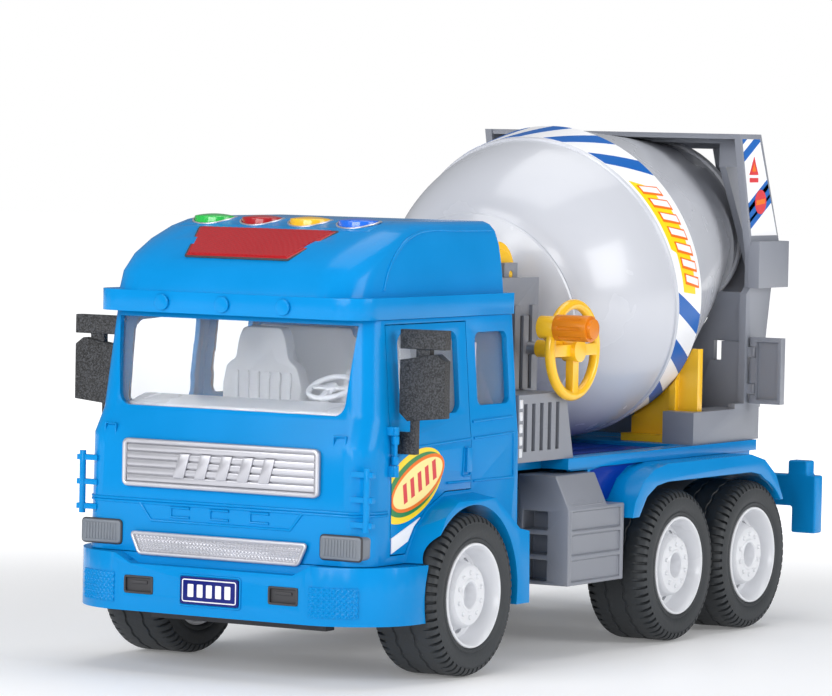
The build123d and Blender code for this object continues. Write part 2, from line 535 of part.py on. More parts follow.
tower -= both(block(50, 70, 243, 251, 100, 128) & block(50, 59, 240, 260, 90, 140))
drum_sweep = [(-40, 0), *drum_outline(0)[1:], (DRUM_MOUTH_S + 2, 37)]
drum_room = along_drum(spun([(s, r + 0.9) for s, r in drum_sweep] + [(DRUM_MOUTH_S + 2, 0)]))
tower -= drum_room
save("rear_tower", tower.solids().sort_by(SortBy.VOLUME)[-1])

hood_side = [(258, 197.5), (273, 197.5), (289.5, 157), (290, 137), (284, 122), (262, 160), (246, 186),
             (246, 197.5)]
hood = both(slab_x(hood_side, 41, 44))
hood += slab_x([(270.5, 197.5), (273, 197.5), (289.5, 157), (290, 137), (287.5, 137), (287, 157)], -44, 44)
hood -= block(-24, 24, 265, 300, 172, 193)
hood += block(-44, 44, 246, 272, 195.5, 197.5)
hood += slab_y([(-44, 137), (44, 137), (36, 122), (-36, 122)], 287.5, 290)
hood += both(block(43.5, 57, 246, 250, 186, 197.5))
hood -= drum_room
hood += slab_x([(283.8, 172.4), (283.8, 169.4), (276, 157.5), (274.5, 158.8)], -15, 15)
save("rear_hood", hood.solids().sort_by(SortBy.VOLUME)[-1])

cradle = slab_y([(26, 78), (56, 78), (56, 113), (26, 113)], 203, 207)
cradle += block(44.5, 47.5, 200, 210, 78, 112) + block(24, 44, 198, 214, 75, 78)
cradle -= drum_room
save("drum_cradle", pair(cradle.solids().sort_by(SortBy.VOLUME)[-1]))

trough_side = [(274, 109.5), (302.5, 86), (302.5, 75), (295, 75), (266, 100), (266, 106)]
chute = slab_x(trough_side, -16, 16) + block(-7, 7, 264, 272, 94, 102)
chute -= slab_x([(262, 106.4), (310, 65.1), (310, 130), (262, 130)], -13.8, 13.8)
chute += block(-9, 9, 256, 270, 92.4, 96)
chute += rod_z(84, 94, 0, CHUTE_PIVOT_Y, CHUTE_PIN_R) + rod_z(83, 85.6, 0, CHUTE_PIVOT_Y, 4.0)
save("discharge_chute", chute)

flap = block(FLAP_HINGE[0], 75.4, 238.0, 241.7, *FLAP_Z) + rod_z(*FLAP_Z, *FLAP_HINGE, 1.85)
flap -= block(64.2, 73.8, 237, 240.2, FLAP_Z[0] + 1.8, FLAP_Z[1] - 1.8)
flap -= block(60, 64.0, 237, 243, 93.7, 98.3) + block(60, 64.0, 237, 243, 108.7, 113.3)
flap -= rod_z(88, 120, *FLAP_HINGE, PIN_R + RUNNING)
save("flap_left", flap)
save("flap_right", mirror(flap, about=Plane.YZ))

beam = block(-71, 71, 281, 288, 45.5, 58.5)
beam += both(block(60, 71, 281, 288, 34.5, 58.5)) + both(block(58, 67, 281, 288, 58.5, 64.5))
save("rear_bumper", beam)

# Files --------------------------------------------------------------------------------------
os.makedirs("parts", exist_ok=True)
for name, shape in parts.items():
    export_step(shape, "parts/" + name + ".step")
print(len(parts), "nodes")
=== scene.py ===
import bmesh
import bpy
import json
import math
from mathutils import Matrix, Vector

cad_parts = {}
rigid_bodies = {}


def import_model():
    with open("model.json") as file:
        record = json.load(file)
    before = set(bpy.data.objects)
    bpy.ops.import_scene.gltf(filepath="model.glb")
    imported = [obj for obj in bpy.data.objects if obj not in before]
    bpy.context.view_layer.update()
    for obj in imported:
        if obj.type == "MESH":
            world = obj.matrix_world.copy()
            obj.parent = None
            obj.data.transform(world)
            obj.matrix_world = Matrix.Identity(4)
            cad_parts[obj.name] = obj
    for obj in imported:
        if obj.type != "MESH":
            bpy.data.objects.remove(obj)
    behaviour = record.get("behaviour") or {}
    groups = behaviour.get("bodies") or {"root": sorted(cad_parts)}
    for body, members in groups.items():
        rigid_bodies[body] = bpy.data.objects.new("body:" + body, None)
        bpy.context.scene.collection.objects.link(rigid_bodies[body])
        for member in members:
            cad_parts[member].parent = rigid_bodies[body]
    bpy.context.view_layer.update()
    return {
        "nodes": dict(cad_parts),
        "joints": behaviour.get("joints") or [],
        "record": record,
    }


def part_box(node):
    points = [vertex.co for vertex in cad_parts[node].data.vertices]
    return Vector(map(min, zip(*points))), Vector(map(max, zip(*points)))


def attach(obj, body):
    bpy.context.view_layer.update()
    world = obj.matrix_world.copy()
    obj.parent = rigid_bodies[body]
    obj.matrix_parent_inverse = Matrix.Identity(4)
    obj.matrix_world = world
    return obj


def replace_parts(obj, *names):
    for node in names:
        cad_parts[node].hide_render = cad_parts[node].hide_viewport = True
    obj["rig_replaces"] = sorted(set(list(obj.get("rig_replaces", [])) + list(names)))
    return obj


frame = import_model()
NODES = frame["nodes"]
BODY_OF = {n: b for b, ns in frame["record"]["behaviour"]["bodies"].items() for n in ns}
MM = 0.001
AXLE_R = 2.0
AXLE_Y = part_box("front_axle")[0].y / MM + AXLE_R   # the front axle's place along the truck
SIDE = {1: "left", -1: "right"}
EDGE_ANGLE = 28                                    # degrees: an edge that turns more is rounded
MERGE_WITHIN = 1e-6                                # metres

# Camera -------------------------------------------------------------------------------------
AZIMUTH = math.radians(31.113)
ELEVATION = math.radians(2.764)
ROLL = math.radians(1.131)
LENS = 210.1
CAMERA_FROM_AXLE = Vector((965.7, -1523.9, 205.3))
CLIP = (0.05, 20)


def make_camera():
    """The long lens low at the truck's left front, from which the whole truck is seen."""
    back = Vector((math.sin(AZIMUTH) * math.cos(ELEVATION), -math.cos(AZIMUTH) * math.cos(ELEVATION),
                   math.sin(ELEVATION)))
    right = Vector((math.cos(AZIMUTH), math.sin(AZIMUTH), 0))
    up = back.cross(right)
    x_axis = right * math.cos(ROLL) + up * math.sin(ROLL)
    y_axis = up * math.cos(ROLL) - right * math.sin(ROLL)
    data = bpy.data.cameras.new("camera")
    data.lens = LENS
    data.clip_start, data.clip_end = CLIP
    camera = bpy.data.objects.new("camera", data)
    bpy.context.scene.collection.objects.link(camera)
    turn = Matrix((x_axis, y_axis, back)).transposed().to_4x4()
    camera.matrix_world = Matrix.Translation((CAMERA_FROM_AXLE + Vector((0, AXLE_Y, 0))) * MM) @ turn
    bpy.context.scene.camera = camera


make_camera()


# Light and floor ----------------------------------------------------------------------------
AMBIENT = 0.24
ROOM_TINT = (0.93, 0.96, 1.0, 1)
FLOOR_HALF = 6.0
FLOOR_DROP = 0.0002
LIGHTS = (      # name, place, height aimed at, size, watts
    ("key", (-0.45, -1.6, 0.95), 0.09, (0.9, 0.8), 11),
    ("front_panel", (0.35, -1.9, 0.55), 0.1, (1.4, 0.5), 15),
    ("side_fill", (1.75, 0.15, 0.75), 0.1, (1.0, 0.9), 15),
    ("top", (0.0, 0.3, 1.5), 0.1, (1.0, 1.3), 9),
)


def area_light(name, place, aim_height, size, power):
    data = bpy.data.lights.new(name, "AREA")
    data.shape = "RECTANGLE"
    data.size, data.size_y = size
    data.energy = power
    light = bpy.data.objects.new(name, data)
    light.location = place
    aim = Vector((0, 0, aim_height))
    light.rotation_euler = (aim - Vector(place)).to_track_quat("-Z", "Y").to_euler()
    bpy.context.scene.collection.objects.link(light)


def make_stage():
    """A white backdrop for the camera, a dimmer room for the light, a floor and four soft lights."""
    bpy.context.scene.view_settings.view_transform = "Standard"
    world = bpy.data.worlds.new("studio")
    world.use_nodes = True
    nodes = world.node_tree.nodes
    links = world.node_tree.links
    backdrop = nodes["Background"]
    backdrop.inputs["Color"].default_value = (1.0, 1.0, 1.0, 1)
    backdrop.inputs["Strength"].default_value = 1.0
    room = nodes.new("ShaderNodeBackground")
    room.inputs["Color"].default_value = ROOM_TINT
    room.inputs["Strength"].default_value = AMBIENT
    ray = nodes.new("ShaderNodeLightPath")
    seen = nodes.new("ShaderNodeMath")
    seen.operation = "MAXIMUM"
    mix = nodes.new("ShaderNodeMixShader")
    links.new(ray.outputs["Is Camera Ray"], seen.inputs[0])
    links.new(ray.outputs["Is Transmission Ray"], seen.inputs[1])
    links.new(seen.outputs[0], mix.inputs[0])
    links.new(room.outputs[0], mix.inputs[1])
    links.new(backdrop.outputs[0], mix.inputs[2])
    links.new(mix.outputs[0], nodes["World Output"].inputs["Surface"])
    bpy.context.scene.world = world
    mesh = bpy.data.meshes.new("floor")
    corners = [(x * FLOOR_HALF, y * FLOOR_HALF, 0) for x, y in ((-1, -1), (1, -1), (1, 1), (-1, 1))]
    mesh.from_pydata(corners, [], [(0, 1, 2, 3)])
    floor = bpy.data.objects.new("floor", mesh)
    floor.location.z = -FLOOR_DROP
    bpy.context.scene.collection.objects.link(floor)
    mesh.materials.append(floor_material())
    for row in LIGHTS:
        area_light(*row)


# Materials ----------------------------------------------------------------------------------
FLOOR_PALE = (0.90, 0.90, 0.91, 1)
FLOOR_PALER = (0.94, 0.94, 0.945, 1)
FLOOR_GLOW = {"From Min": 0.16, "From Max": 0.75, "To Min": 0.14, "To Max": 0.85}    # metres to strength
CLOUD_SCALE = 22.0
CLOUD_RANGE = (0.3, 0.7)
SPECKLE_RANGE = (0.42, 0.62)
COAT_ROUGHNESS = 0.08
CLEAR_IOR = 1.1


def new_material(name):
    material = bpy.data.materials.new(name)
    material.use_nodes = True
    tree = material.node_tree
    return material, tree.nodes, tree.links, tree.nodes["Principled BSDF"]


def floor_material():
    """A pale floor that brightens with its distance from the truck, so that it runs into the backdrop."""
    material, nodes, links, shader = new_material("floor")
    noise = nodes.new("ShaderNodeTexNoise")
    noise.inputs["Scale"].default_value = 3.0
    ramp = nodes.new("ShaderNodeValToRGB")
    ramp.color_ramp.elements[0].color = FLOOR_PALE
    ramp.color_ramp.elements[1].color = FLOOR_PALER
    place = nodes.new("ShaderNodeTexCoord")
    distance = nodes.new("ShaderNodeVectorMath")
    distance.operation = "LENGTH"
    spread = nodes.new("ShaderNodeMapRange")
    spread.interpolation_type = "SMOOTHSTEP"
    for socket, value in FLOOR_GLOW.items():
        spread.inputs[socket].default_value = value
    links.new(place.outputs["Object"], distance.inputs[0])
    links.new(distance.outputs["Value"], spread.inputs["Value"])
    links.new(spread.outputs["Result"], shader.inputs["Emission Strength"])
    links.new(noise.outputs["Fac"], ramp.inputs["Fac"])
    links.new(ramp.outputs["Color"], shader.inputs["Base Color"])
    shader.inputs["Emission Color"].default_value = (1, 1, 1, 1)
    shader.inputs["Roughness"].default_value = 0.5
    return material


def plastic(name, colour, roughness=0.25, grain=0.02, grain_scale=900.0, coat=0.0, metallic=0.0,
            varies=0.06, see_through=0.0, relief=0.0003, speckle=False):
    """Moulded plastic: slightly cloudy colour, a fine skin grain and a sheen that varies a little."""
    material, nodes, links, shader = new_material(name)
    place = nodes.new("ShaderNodeTexCoord")
    cloud = nodes.new("ShaderNodeTexNoise")
    cloud.inputs["Scale"].default_value = CLOUD_SCALE
    cloud.inputs["Detail"].default_value = 4.0
    ramp = nodes.new("ShaderNodeValToRGB")
    darker, lighter = ramp.color_ramp.elements
    darker.position, lighter.position = SPECKLE_RANGE if speckle else CLOUD_RANGE
    darker.color = (*[c * (1 - varies) for c in colour], 1)
    lighter.color = (*[min(1, c * (1 + varies) + 0.004) for c in colour], 1)
    skin = nodes.new("ShaderNodeTexNoise")
    skin.inputs["Scale"].default_value = grain_scale
    skin.inputs["Detail"].default_value = 3.0
    bump = nodes.new("ShaderNodeBump")
    bump.inputs["Strength"].default_value = grain
    bump.inputs["Distance"].default_value = relief
    gloss = nodes.new("ShaderNodeMapRange")
    gloss.inputs["To Min"].default_value = roughness * 0.85
    gloss.inputs["To Max"].default_value = roughness * 1.2
    links.new(place.outputs["Object"], cloud.inputs["Vector"])
    links.new(place.outputs["Object"], skin.inputs["Vector"])
    links.new((skin if speckle else cloud).outputs["Fac"], ramp.inputs["Fac"])
    links.new(cloud.outputs["Fac"], gloss.inputs["Value"])
    links.new(ramp.outputs["Color"], shader.inputs["Base Color"])
    links.new(gloss.outputs["Result"], shader.inputs["Roughness"])
    links.new(skin.outputs["Fac"], bump.inputs["Height"])
    links.new(bump.outputs["Normal"], shader.inputs["Normal"])
    shader.inputs["Metallic"].default_value = metallic
    shader.inputs["Coat Weight"].default_value = coat
    shader.inputs["Coat Roughness"].default_value = COAT_ROUGHNESS
    shader.inputs["Transmission Weight"].default_value = see_through
    return material


MATERIALS = {
    "blue_plastic": plastic("blue_plastic", (0.0, 0.238, 0.60), 0.2, coat=0.04),
    "grey_plastic": plastic("grey_plastic", (0.225, 0.238, 0.275), 0.34, 0.05),
    "dark_plastic": plastic("dark_plastic", (0.035, 0.035, 0.040), 0.5, 0.12),
    "white_plastic": plastic("white_plastic", (0.74, 0.75, 0.78), 0.28, coat=0.2, varies=0.02),
    "drum_plastic": plastic("drum_plastic", (0.56, 0.575, 0.625), 0.26, coat=0.3, varies=0.02),
    "yellow_plastic": plastic("yellow_plastic", (1.0, 0.55, 0.012), 0.25, coat=0.3),
    # orange_plastic: a shaded copy of yellow_plastic, whose orange paints the shade on the yellow crank
    # knob
    "orange_plastic": plastic("orange_plastic", (0.72, 0.21, 0.005), 0.3, coat=0.08),
    "silver_plastic": plastic("silver_plastic", (0.52, 0.52, 0.56), 0.32, metallic=0.55, grain=0.05),
    "black_plastic": plastic("black_plastic", (0.024, 0.025, 0.028), 0.42, 1.0, 1900.0, varies=0.9,
                             relief=0.0004, speckle=True),
    "rubber": plastic("rubber", (0.026, 0.030, 0.034), 0.55, 0.35, 700.0, varies=0.2),
    "steel": plastic("steel", (0.55, 0.55, 0.57), 0.3, metallic=1.0, grain=0.1),
    "clear_plastic": plastic("clear_plastic", (0.97, 0.98, 1.0), 0.04, see_through=0.94, varies=0.01),
    "red_lens": plastic("red_lens", (0.42, 0.010, 0.016), 0.22, coat=0.4),
    "green_lens": plastic("green_lens", (0.02, 0.50, 0.07), 0.2, coat=0.5),
    "yellow_lens": plastic("yellow_lens", (1.0, 0.56, 0.02), 0.2, coat=0.5),
    "blue_lens": plastic("blue_lens", (0.01, 0.15, 0.75), 0.2, coat=0.5),
    "circuit": plastic("circuit", (0.02, 0.16, 0.05), 0.45, 0.1),
}
STICKERS = {        # the printed or sunk details: colour, and the material slot each belongs to
    "blue_sticker": ((0.0, 0.115, 0.45), "blue_plastic"),
    "lamp_sticker": ((0.17, 0.19, 0.22), "silver_plastic"),
    # a darker blue that paints the shade on the deck's floor and aprons
    "shade_blue_sticker": ((0.0, 0.030, 0.30), "blue_plastic"),
    "green_sticker": ((0.01, 0.22, 0.05), "green_lens"),
    "cream_sticker": ((1.0, 0.80, 0.30), "yellow_plastic"),
    "navy_sticker": ((0.004, 0.010, 0.16), "blue_plastic"),
    "yellow_sticker": ((1.0, 0.70, 0.0), "yellow_plastic"),
    "orange_sticker": ((0.86, 0.18, 0.01), "orange_plastic"),
    "white_sticker": ((0.90, 0.90, 0.92), "white_plastic"),
    "red_sticker": ((0.68, 0.02, 0.03), "red_lens"),
}
STICKER_SLOTS = {sticker: slot for sticker, (tint, slot) in STICKERS.items()}
for sticker, (tint, slot) in STICKERS.items():
    MATERIALS[sticker] = plastic(sticker, tint, 0.3, 0.01, 300.0, coat=0.04, varies=0.03)

SHEEN = {"blue_plastic": 0.12, "blue_sticker": 0.2, "orange_plastic": 0.2, "orange_sticker": 0.2,
         "shade_blue_sticker": 0.2, "navy_sticker": 0.2, "red_lens": 0.3}
for name, level in SHEEN.items():
    shader = MATERIALS[name].node_tree.nodes["Principled BSDF"]
    shader.inputs["Specular IOR Level"].default_value = level
MATERIALS["clear_plastic"].node_tree.nodes["Principled BSDF"].inputs["IOR"].default_value = CLEAR_IOR


# Mesh helpers -------------------------------------------------------------------------------
def add_object(name, mesh):
    piece = bpy.data.objects.new(name, mesh)
    bpy.context.scene.collection.objects.link(piece)
    return piece


def finish_piece(piece, body, slot, replaced=()):
    """Gives a piece its material and its body, and says which CAD nodes it stands for."""
    piece.data.materials.clear()
    piece.data.materials.append(MATERIALS[slot])
    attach(piece, body)
    STICKER_SLOTS.get(slot, slot)
    if replaced:
        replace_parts(piece, *replaced)
    return piece


def apply_modifiers(piece):
    graph = bpy.context.evaluated_depsgraph_get()
    shaped = bpy.data.meshes.new_from_object(piece.evaluated_get(graph))
    piece.modifiers.clear()
    piece.data = shaped


def round_edges(piece, radius, miter="MITER_SHARP"):
    for polygon in piece.data.polygons:
        polygon.use_smooth = True
    bevel = piece.modifiers.new("edges", "BEVEL")
    bevel.width = radius * MM
    bevel.segments = 3
    bevel.limit_method = "ANGLE"
    bevel.angle_limit = math.radians(EDGE_ANGLE)
    bevel.harden_normals = True
    bevel.miter_outer = miter
    apply_modifiers(piece)


def moulded(node, slot, radius):
    """A moulded copy of a CAD piece: its flat faces joined up and every sharp edge rounded."""
    piece = add_object(node + "_moulding", NODES[node].data.copy())
    shape = bmesh.new()
    shape.from_mesh(piece.data)
    bmesh.ops.remove_doubles(shape, verts=shape.verts, dist=2 * MERGE_WITHIN)
    bmesh.ops.dissolve_limit(shape, angle_limit=math.radians(1.0), verts=shape.verts, edges=shape.edges)
    shape.to_mesh(piece.data)
    shape.free()
    if radius:
        round_edges(piece, radius, "MITER_ARC")
    else:
        sharpen(piece.data, EDGE_ANGLE)
    return finish_piece(piece, BODY_OF[node], slot, (node,))


def sharpen(mesh, angle=32):
    for polygon in mesh.polygons:
        polygon.use_smooth = True
    mesh.set_sharp_from_angle(angle=math.radians(angle))


def face_outwards(mesh, merge=False):
    clean = bmesh.new()
    clean.from_mesh(mesh)
    if merge:
        bmesh.ops.remove_doubles(clean, verts=clean.verts, dist=MERGE_WITHIN)
    bmesh.ops.recalc_face_normals(clean, faces=clean.faces)
    clean.to_mesh(mesh)
    clean.free()


def lathe(name, profile, columns, place, change=None):
    """Turns a closed outline of (distance along the axis, radius) round local Z, a column at each turn."""
    verts = []
    for column, turn in enumerate(columns):
        for row, (along, radius) in enumerate(profile):
            if change:
                along, radius = change(column, row, along, radius)
            verts.append(place @ Vector((radius * math.cos(turn), radius * math.sin(turn), along)) * MM)
    rows = len(profile)
    count = len(columns)
    faces = []
    for column in range(count):
        for row in range(rows):
            a = column * rows + row
            b = column * rows + (row + 1) % rows
            c = (column + 1) % count * rows + (row + 1) % rows
            d = (column + 1) % count * rows + row
            faces.append((a, d, c, b))
    mesh = bpy.data.meshes.new(name)
    mesh.from_pydata(verts, [], faces)
    mesh.validate()
    face_outwards(mesh, merge=True)
    sharpen(mesh)
    return add_object(name, mesh)


def even_turns(count):
    return [2 * math.pi * step / count for step in range(count)]


def circle(radius, count, centre=(0, 0)):
    return [(centre[0] + radius * math.cos(turn), centre[1] + radius * math.sin(turn))
            for turn in even_turns(count)]


def smooth_points(points, steps=6):
    """A Catmull-Rom curve through a few corners."""
    ends = [points[0], *points, points[-1]]
    curve = []
    for a, b, c, d in zip(ends, ends[1:], ends[2:], ends[3:]):
        for step in range(steps):
            t = step / steps
            curve.append(tuple(0.5 * (2 * q + (r - p) * t + (2 * p - 5 * q + 4 * r - w) * t ** 2
                                      + (3 * q - p - 3 * r + w) * t ** 3)
                               for p, q, r, w in zip(a, b, c, d)))
    curve.append(tuple(points[-1]))
    return curve


def mapped_slab(name, mapping, across, along, low, high):
    """A thin closed slab: mapping(u, v, height) gives each point, with u and v from 0 to 1."""
    verts = []
    for height in (high, low):
        for i in range(across + 1):
            for j in range(along + 1):
                verts.append(mapping(i / across, j / along, height))
    row = along + 1
    layer = (across + 1) * row
    faces = []
    for i in range(across):
        for j in range(along):
            a = i * row + j
            faces.append((a, a + 1, a + 1 + row, a + row))
            faces.append((layer + a, layer + a + row, layer + a + 1 + row, layer + a + 1))
    rim = [(i * row, (i + 1) * row) for i in range(across)]
    rim += [(across * row + j, across * row + j + 1) for j in range(along)]
    rim += [((i + 1) * row + along, i * row + along) for i in range(across)]
    rim += [(j + 1, j) for j in range(along)]
    faces += [(a, b, b + layer, a + layer) for a, b in rim]
    mesh = bpy.data.meshes.new(name)
    mesh.from_pydata(verts, [], faces)
    face_outwards(mesh)
    sharpen(mesh, 40)
    return add_object(name, mesh)


def prism(name, outline, place, low, high, bevel=0.0):
    """A flat piece from an (x, y) outline in a local frame, between two heights, all in millimetres."""
    shape = bmesh.new()
    bottom = [shape.verts.new(place @ Vector((x, y, low)) * MM) for x, y in outline]
    face = shape.faces.new(bottom)
    out = bmesh.ops.extrude_face_region(shape, geom=[face])
    lift = (place.to_3x3() @ Vector((0, 0, high - low))) * MM
    raised = [v for v in out["geom"] if isinstance(v, bmesh.types.BMVert)]
    bmesh.ops.translate(shape, vec=lift, verts=raised)
    bmesh.ops.recalc_face_normals(shape, faces=shape.faces)
    mesh = bpy.data.meshes.new(name)
    shape.to_mesh(mesh)
    shape.free()
    piece = add_object(name, mesh)
    if bevel:
        round_edges(piece, bevel)
    sharpen(piece.data)
    return piece


def plane_at(origin, x_axis, y_axis):
    """A local frame at a point in millimetres, Y from the front axle, with its Z off the plane."""
    x_axis = Vector(x_axis).normalized()
    z_axis = x_axis.cross(Vector(y_axis)).normalized()
    y_axis = z_axis.cross(x_axis)
    turn = Matrix((x_axis, y_axis, z_axis)).transposed().to_4x4()
    return Matrix.Translation(Vector(origin) + Vector((0, AXLE_Y, 0))) @ turn


def side_prism(name, side, x, outline, low, high, bevel=0.0):
    """A flat piece from a (y, z) outline on an upright plane at a distance to one side."""
    place = plane_at((side * x, 0, 0), (0, side, 0), (0, 0, 1))
    return prism(name, [(y * side, z) for y, z in outline], place, low, high, bevel)


def joined(name, pieces):
    """Joins several pieces' meshes into one piece."""
    shape = bmesh.new()
    for piece in pieces:
        shape.from_mesh(piece.data)
        bpy.data.objects.remove(piece)
    mesh = bpy.data.meshes.new(name)
    shape.to_mesh(mesh)
    shape.free()
    sharpen(mesh)
    return add_object(name, mesh)


def bead(name, points, radius, closed=False):
    """A round raised line through points given in millimetres from the front axle along Y."""
    curve = bpy.data.curves.new(name, "CURVE")
    curve.dimensions = "3D"
    curve.bevel_depth = radius * MM
    curve.bevel_resolution = 3
    spline = curve.splines.new("POLY")
    spline.points.add(len(points) - 1)
    for point, (x, y, z) in zip(spline.points, points):
        point.co = (x * MM, (y + AXLE_Y) * MM, z * MM, 1)
    spline.use_cyclic_u = closed
    curve.use_fill_caps = True
    line = add_object(name + "_path", curve)
    bpy.context.view_layer.update()
    mesh = bpy.data.meshes.new_from_object(line.evaluated_get(bpy.context.evaluated_depsgraph_get()))
    bpy.data.objects.remove(line)
    sharpen(mesh, 50)
    return add_object(name, mesh)


# Wheels -------------------------------------------------------------------------------------
WHEEL_R = 30.0
WHEEL_CENTRE_X = 59.6
LUGS = 56
LUG_PARTS = (0.0, 0.05, 0.32, 0.37, 0.68)          # where each lug and its notch begin and end
HAND_HOLES = 8
BOLTS = 10
BOLT_CIRCLE = 8.2
AXLES = {"front": 0.0, "middle": 159.0, "rear": 222.0}


def wheel_place(side, along):
    return Matrix.Translation((side * WHEEL_CENTRE_X, along + AXLE_Y, WHEEL_R)) @ Matrix.Rotation(
        math.radians(90 * side), 4, "Y")


def tyre(name, place):
    """A tyre with a ringed sidewall, notched shoulders and zigzag grooves round the tread."""
    outer = [(0.0, 29.7), (3.2, 29.85), (3.5, 29.3), (4.3, 29.3), (4.6, 29.85), (8.4, 29.9), (9.9, 29.8),
             (11.4, 29.3), (12.4, 28.6), (13.0, 27.6), (13.2, 26.8), (13.05, 26.4), (13.3, 25.2),
             (13.35, 23.4), (13.2, 22.0), (12.8, 21.2), (13.1, 20.8), (13.1, 20.2), (12.8, 19.6),
             (11.8, 19.4)]
    profile = [(-s, r) for s, r in reversed(outer[1:])] + outer
    shoulder = {row for row, (s, r) in enumerate(profile) if abs(s) > 9.5 and r > 27.0}
    groove = {row for row, (s, r) in enumerate(profile) if 3.1 < abs(s) < 4.7}
    turns = [2 * math.pi * (lug + part) / LUGS for lug in range(LUGS) for part in LUG_PARTS]
    parts = len(LUG_PARTS)

    def change(column, row, along, radius):
        if row in shoulder and column % parts in (1, 2):
            sink = 1.9 if abs(along) > 10.5 else 0.5
            return along * 0.985, radius - sink
        if row in groove:
            return along + 0.3 * (1 if column % (2 * parts) < parts else -1), radius
        return along, radius

    return lathe(name, profile, turns, place, change)


def rim(name, place):
    """A deep dished rim: lip, valley with hand holes, raised face with bolt bumps and a hollow hub."""
    outer = [(12.0, 19.3), (13.0, 19.3), (13.35, 19.0), (13.35, 18.5), (12.9, 18.1), (10.6, 17.7),
             (7.2, 16.9), (5.4, 16.2), (4.9, 15.2), (5.1, 13.9), (6.2, 12.8), (9.2, 12.1), (10.6, 11.5),
             (11.3, 10.8), (11.5, 9.9), (11.4, 6.3), (11.8, 5.8), (11.8, 5.2), (11.4, 4.8), (7.6, 4.3),
             (7.1, 3.9), (6.9, 0.0)]
    inner = [(-3.0, 0.0), (-3.0, 5.0), (-3.4, 16.6), (-11.6, 17.5), (-12.0, 18.1), (-12.0, 19.3)]
    body = lathe(name, outer + inner, even_turns(96), place)
    holes = []
    for turn in even_turns(HAND_HOLES):
        turn += 0.2
        centre = place @ Matrix.Rotation(turn, 4, "Z") @ Matrix.Translation((13.6, 0, 0))
        outline = [(1.3 * math.cos(t), 2.3 * math.sin(t)) for t in even_turns(20)]
        holes.append(prism("hole", outline, centre, 2.4, 8.5))
    cutter = joined("cutter", holes)
    cut = body.modifiers.new("holes", "BOOLEAN")
    cut.object = cutter
    cut.solver = "EXACT"
    apply_modifiers(body)
    bpy.data.objects.remove(cutter)
    bumps = []
    for x, y in circle(BOLT_CIRCLE, BOLTS):
        centre = place @ Matrix.Translation((x, y, 0))
        dome = [(11.2, 0.0), (11.2, 0.95), (11.8, 0.9), (12.2, 0.6), (12.3, 0.0)]
        bumps.append(lathe("bump", dome, even_turns(10), centre))
    return joined(name, [body, *bumps])


for axle, along in AXLES.items():
    tyres = joined(axle + "_tyre_pair", [tyre("tyre", wheel_place(side, along)) for side in (1, -1)])
    finish_piece(tyres, axle + "_wheels", "rubber", (axle + "_tyres",))
    rims = joined(axle + "_rim_pair", [rim("rim", wheel_place(side, along)) for side in (1, -1)])
    finish_piece(rims, axle + "_wheels", "white_plastic", (axle + "_rims",))


# Drum ---------------------------------------------------------------------------------------
DRUM_JOINT = next(joint for joint in frame["joints"] if joint["name"] == "drum_spin")
DRUM_AXIS = Vector(DRUM_JOINT["axis"])
DRUM_UP = Vector((1, 0, 0)).cross(DRUM_AXIS)
DRUM_PLACE = Matrix.Translation(Vector(DRUM_JOINT["pos_m"]) / MM) @ Matrix(
    (Vector((1, 0, 0)), DRUM_UP, DRUM_AXIS)).transposed().to_4x4()
BAND_R = 62.0
BAND_END = 20.0
FLAG_GROUPS = 3


def on_band(turn, along, lift):
    """A point on the drum's band: turn is in degrees from the top towards the truck's left."""
    angle = math.radians(turn)
    radius = BAND_R + lift
    return DRUM_PLACE @ Vector((radius * math.sin(angle), radius * math.cos(angle), along)) * MM


def drum():
    """The drum's hollow shell with its raised band and rolled mouth, and the cap over its front end."""
    front = smooth_points([(-47.4, 42.4), (-44.0, 46.8), (-38.0, 51.0), (-30.0, 54.8), (-20.0, 58.0),
                           (-10.0, 60.0), (-1.4, 61.0)])
    ridge = [(-1.2, 61.0), (-0.9, 61.7), (-0.2, 62.0), (BAND_END - 0.3, BAND_R), (BAND_END, 61.7),
             (BAND_END + 0.3, 61.3)]
    rear = smooth_points([(24.0, 60.2), (60.0, 49.2), (96.0, 38.2), (102.6, 36.2)], 4)
    mouth = [(102.9, 36.6), (103.3, 37.0), (105.8, 37.0), (106.4, 36.4), (106.4, 34.6), (105.9, 34.1)]
    inside = [(100.0, 34.6), (20.0, 59.0), (0.0, 58.6), (-10.0, 57.7), (-20.0, 55.8), (-30.0, 52.6),
              (-38.0, 48.8), (-44.0, 44.6), (-47.4, 40.4)]
    shell = lathe("drum_body", front + ridge + rear + mouth + inside, even_turns(160), DRUM_PLACE)
    finish_piece(shell, "drum", "drum_plastic", ("drum_shell",))
    cap_outline = [(-46.0, 0.0), (-46.0, 39.0), (-47.5, 42.0), (-48.3, 42.7), (-49.2, 42.3),
                   (-52.0, 37.0), (-58.5, 20.0), (-61.0, 16.5), (-64.0, 13.0), (-66.0, 10.0),
                   (-68.0, 9.0), (-68.3, 8.0), (-68.3, 0.0)]
    cap = lathe("drum_nose", cap_outline, even_turns(128), DRUM_PLACE)
    finish_piece(cap, "drum", "drum_plastic", ("drum_front_cap",))


def band_patch(name, start, width, slant, low, high):
    """A thin decal on the band: start, width and slant in degrees, low and high along the axis."""
    def mapping(u, v, height):
        return on_band(start + width * u + slant * v, low + (high - low) * v, height)
    return mapped_slab(name, mapping, 8, 4, -0.15, 0.12)


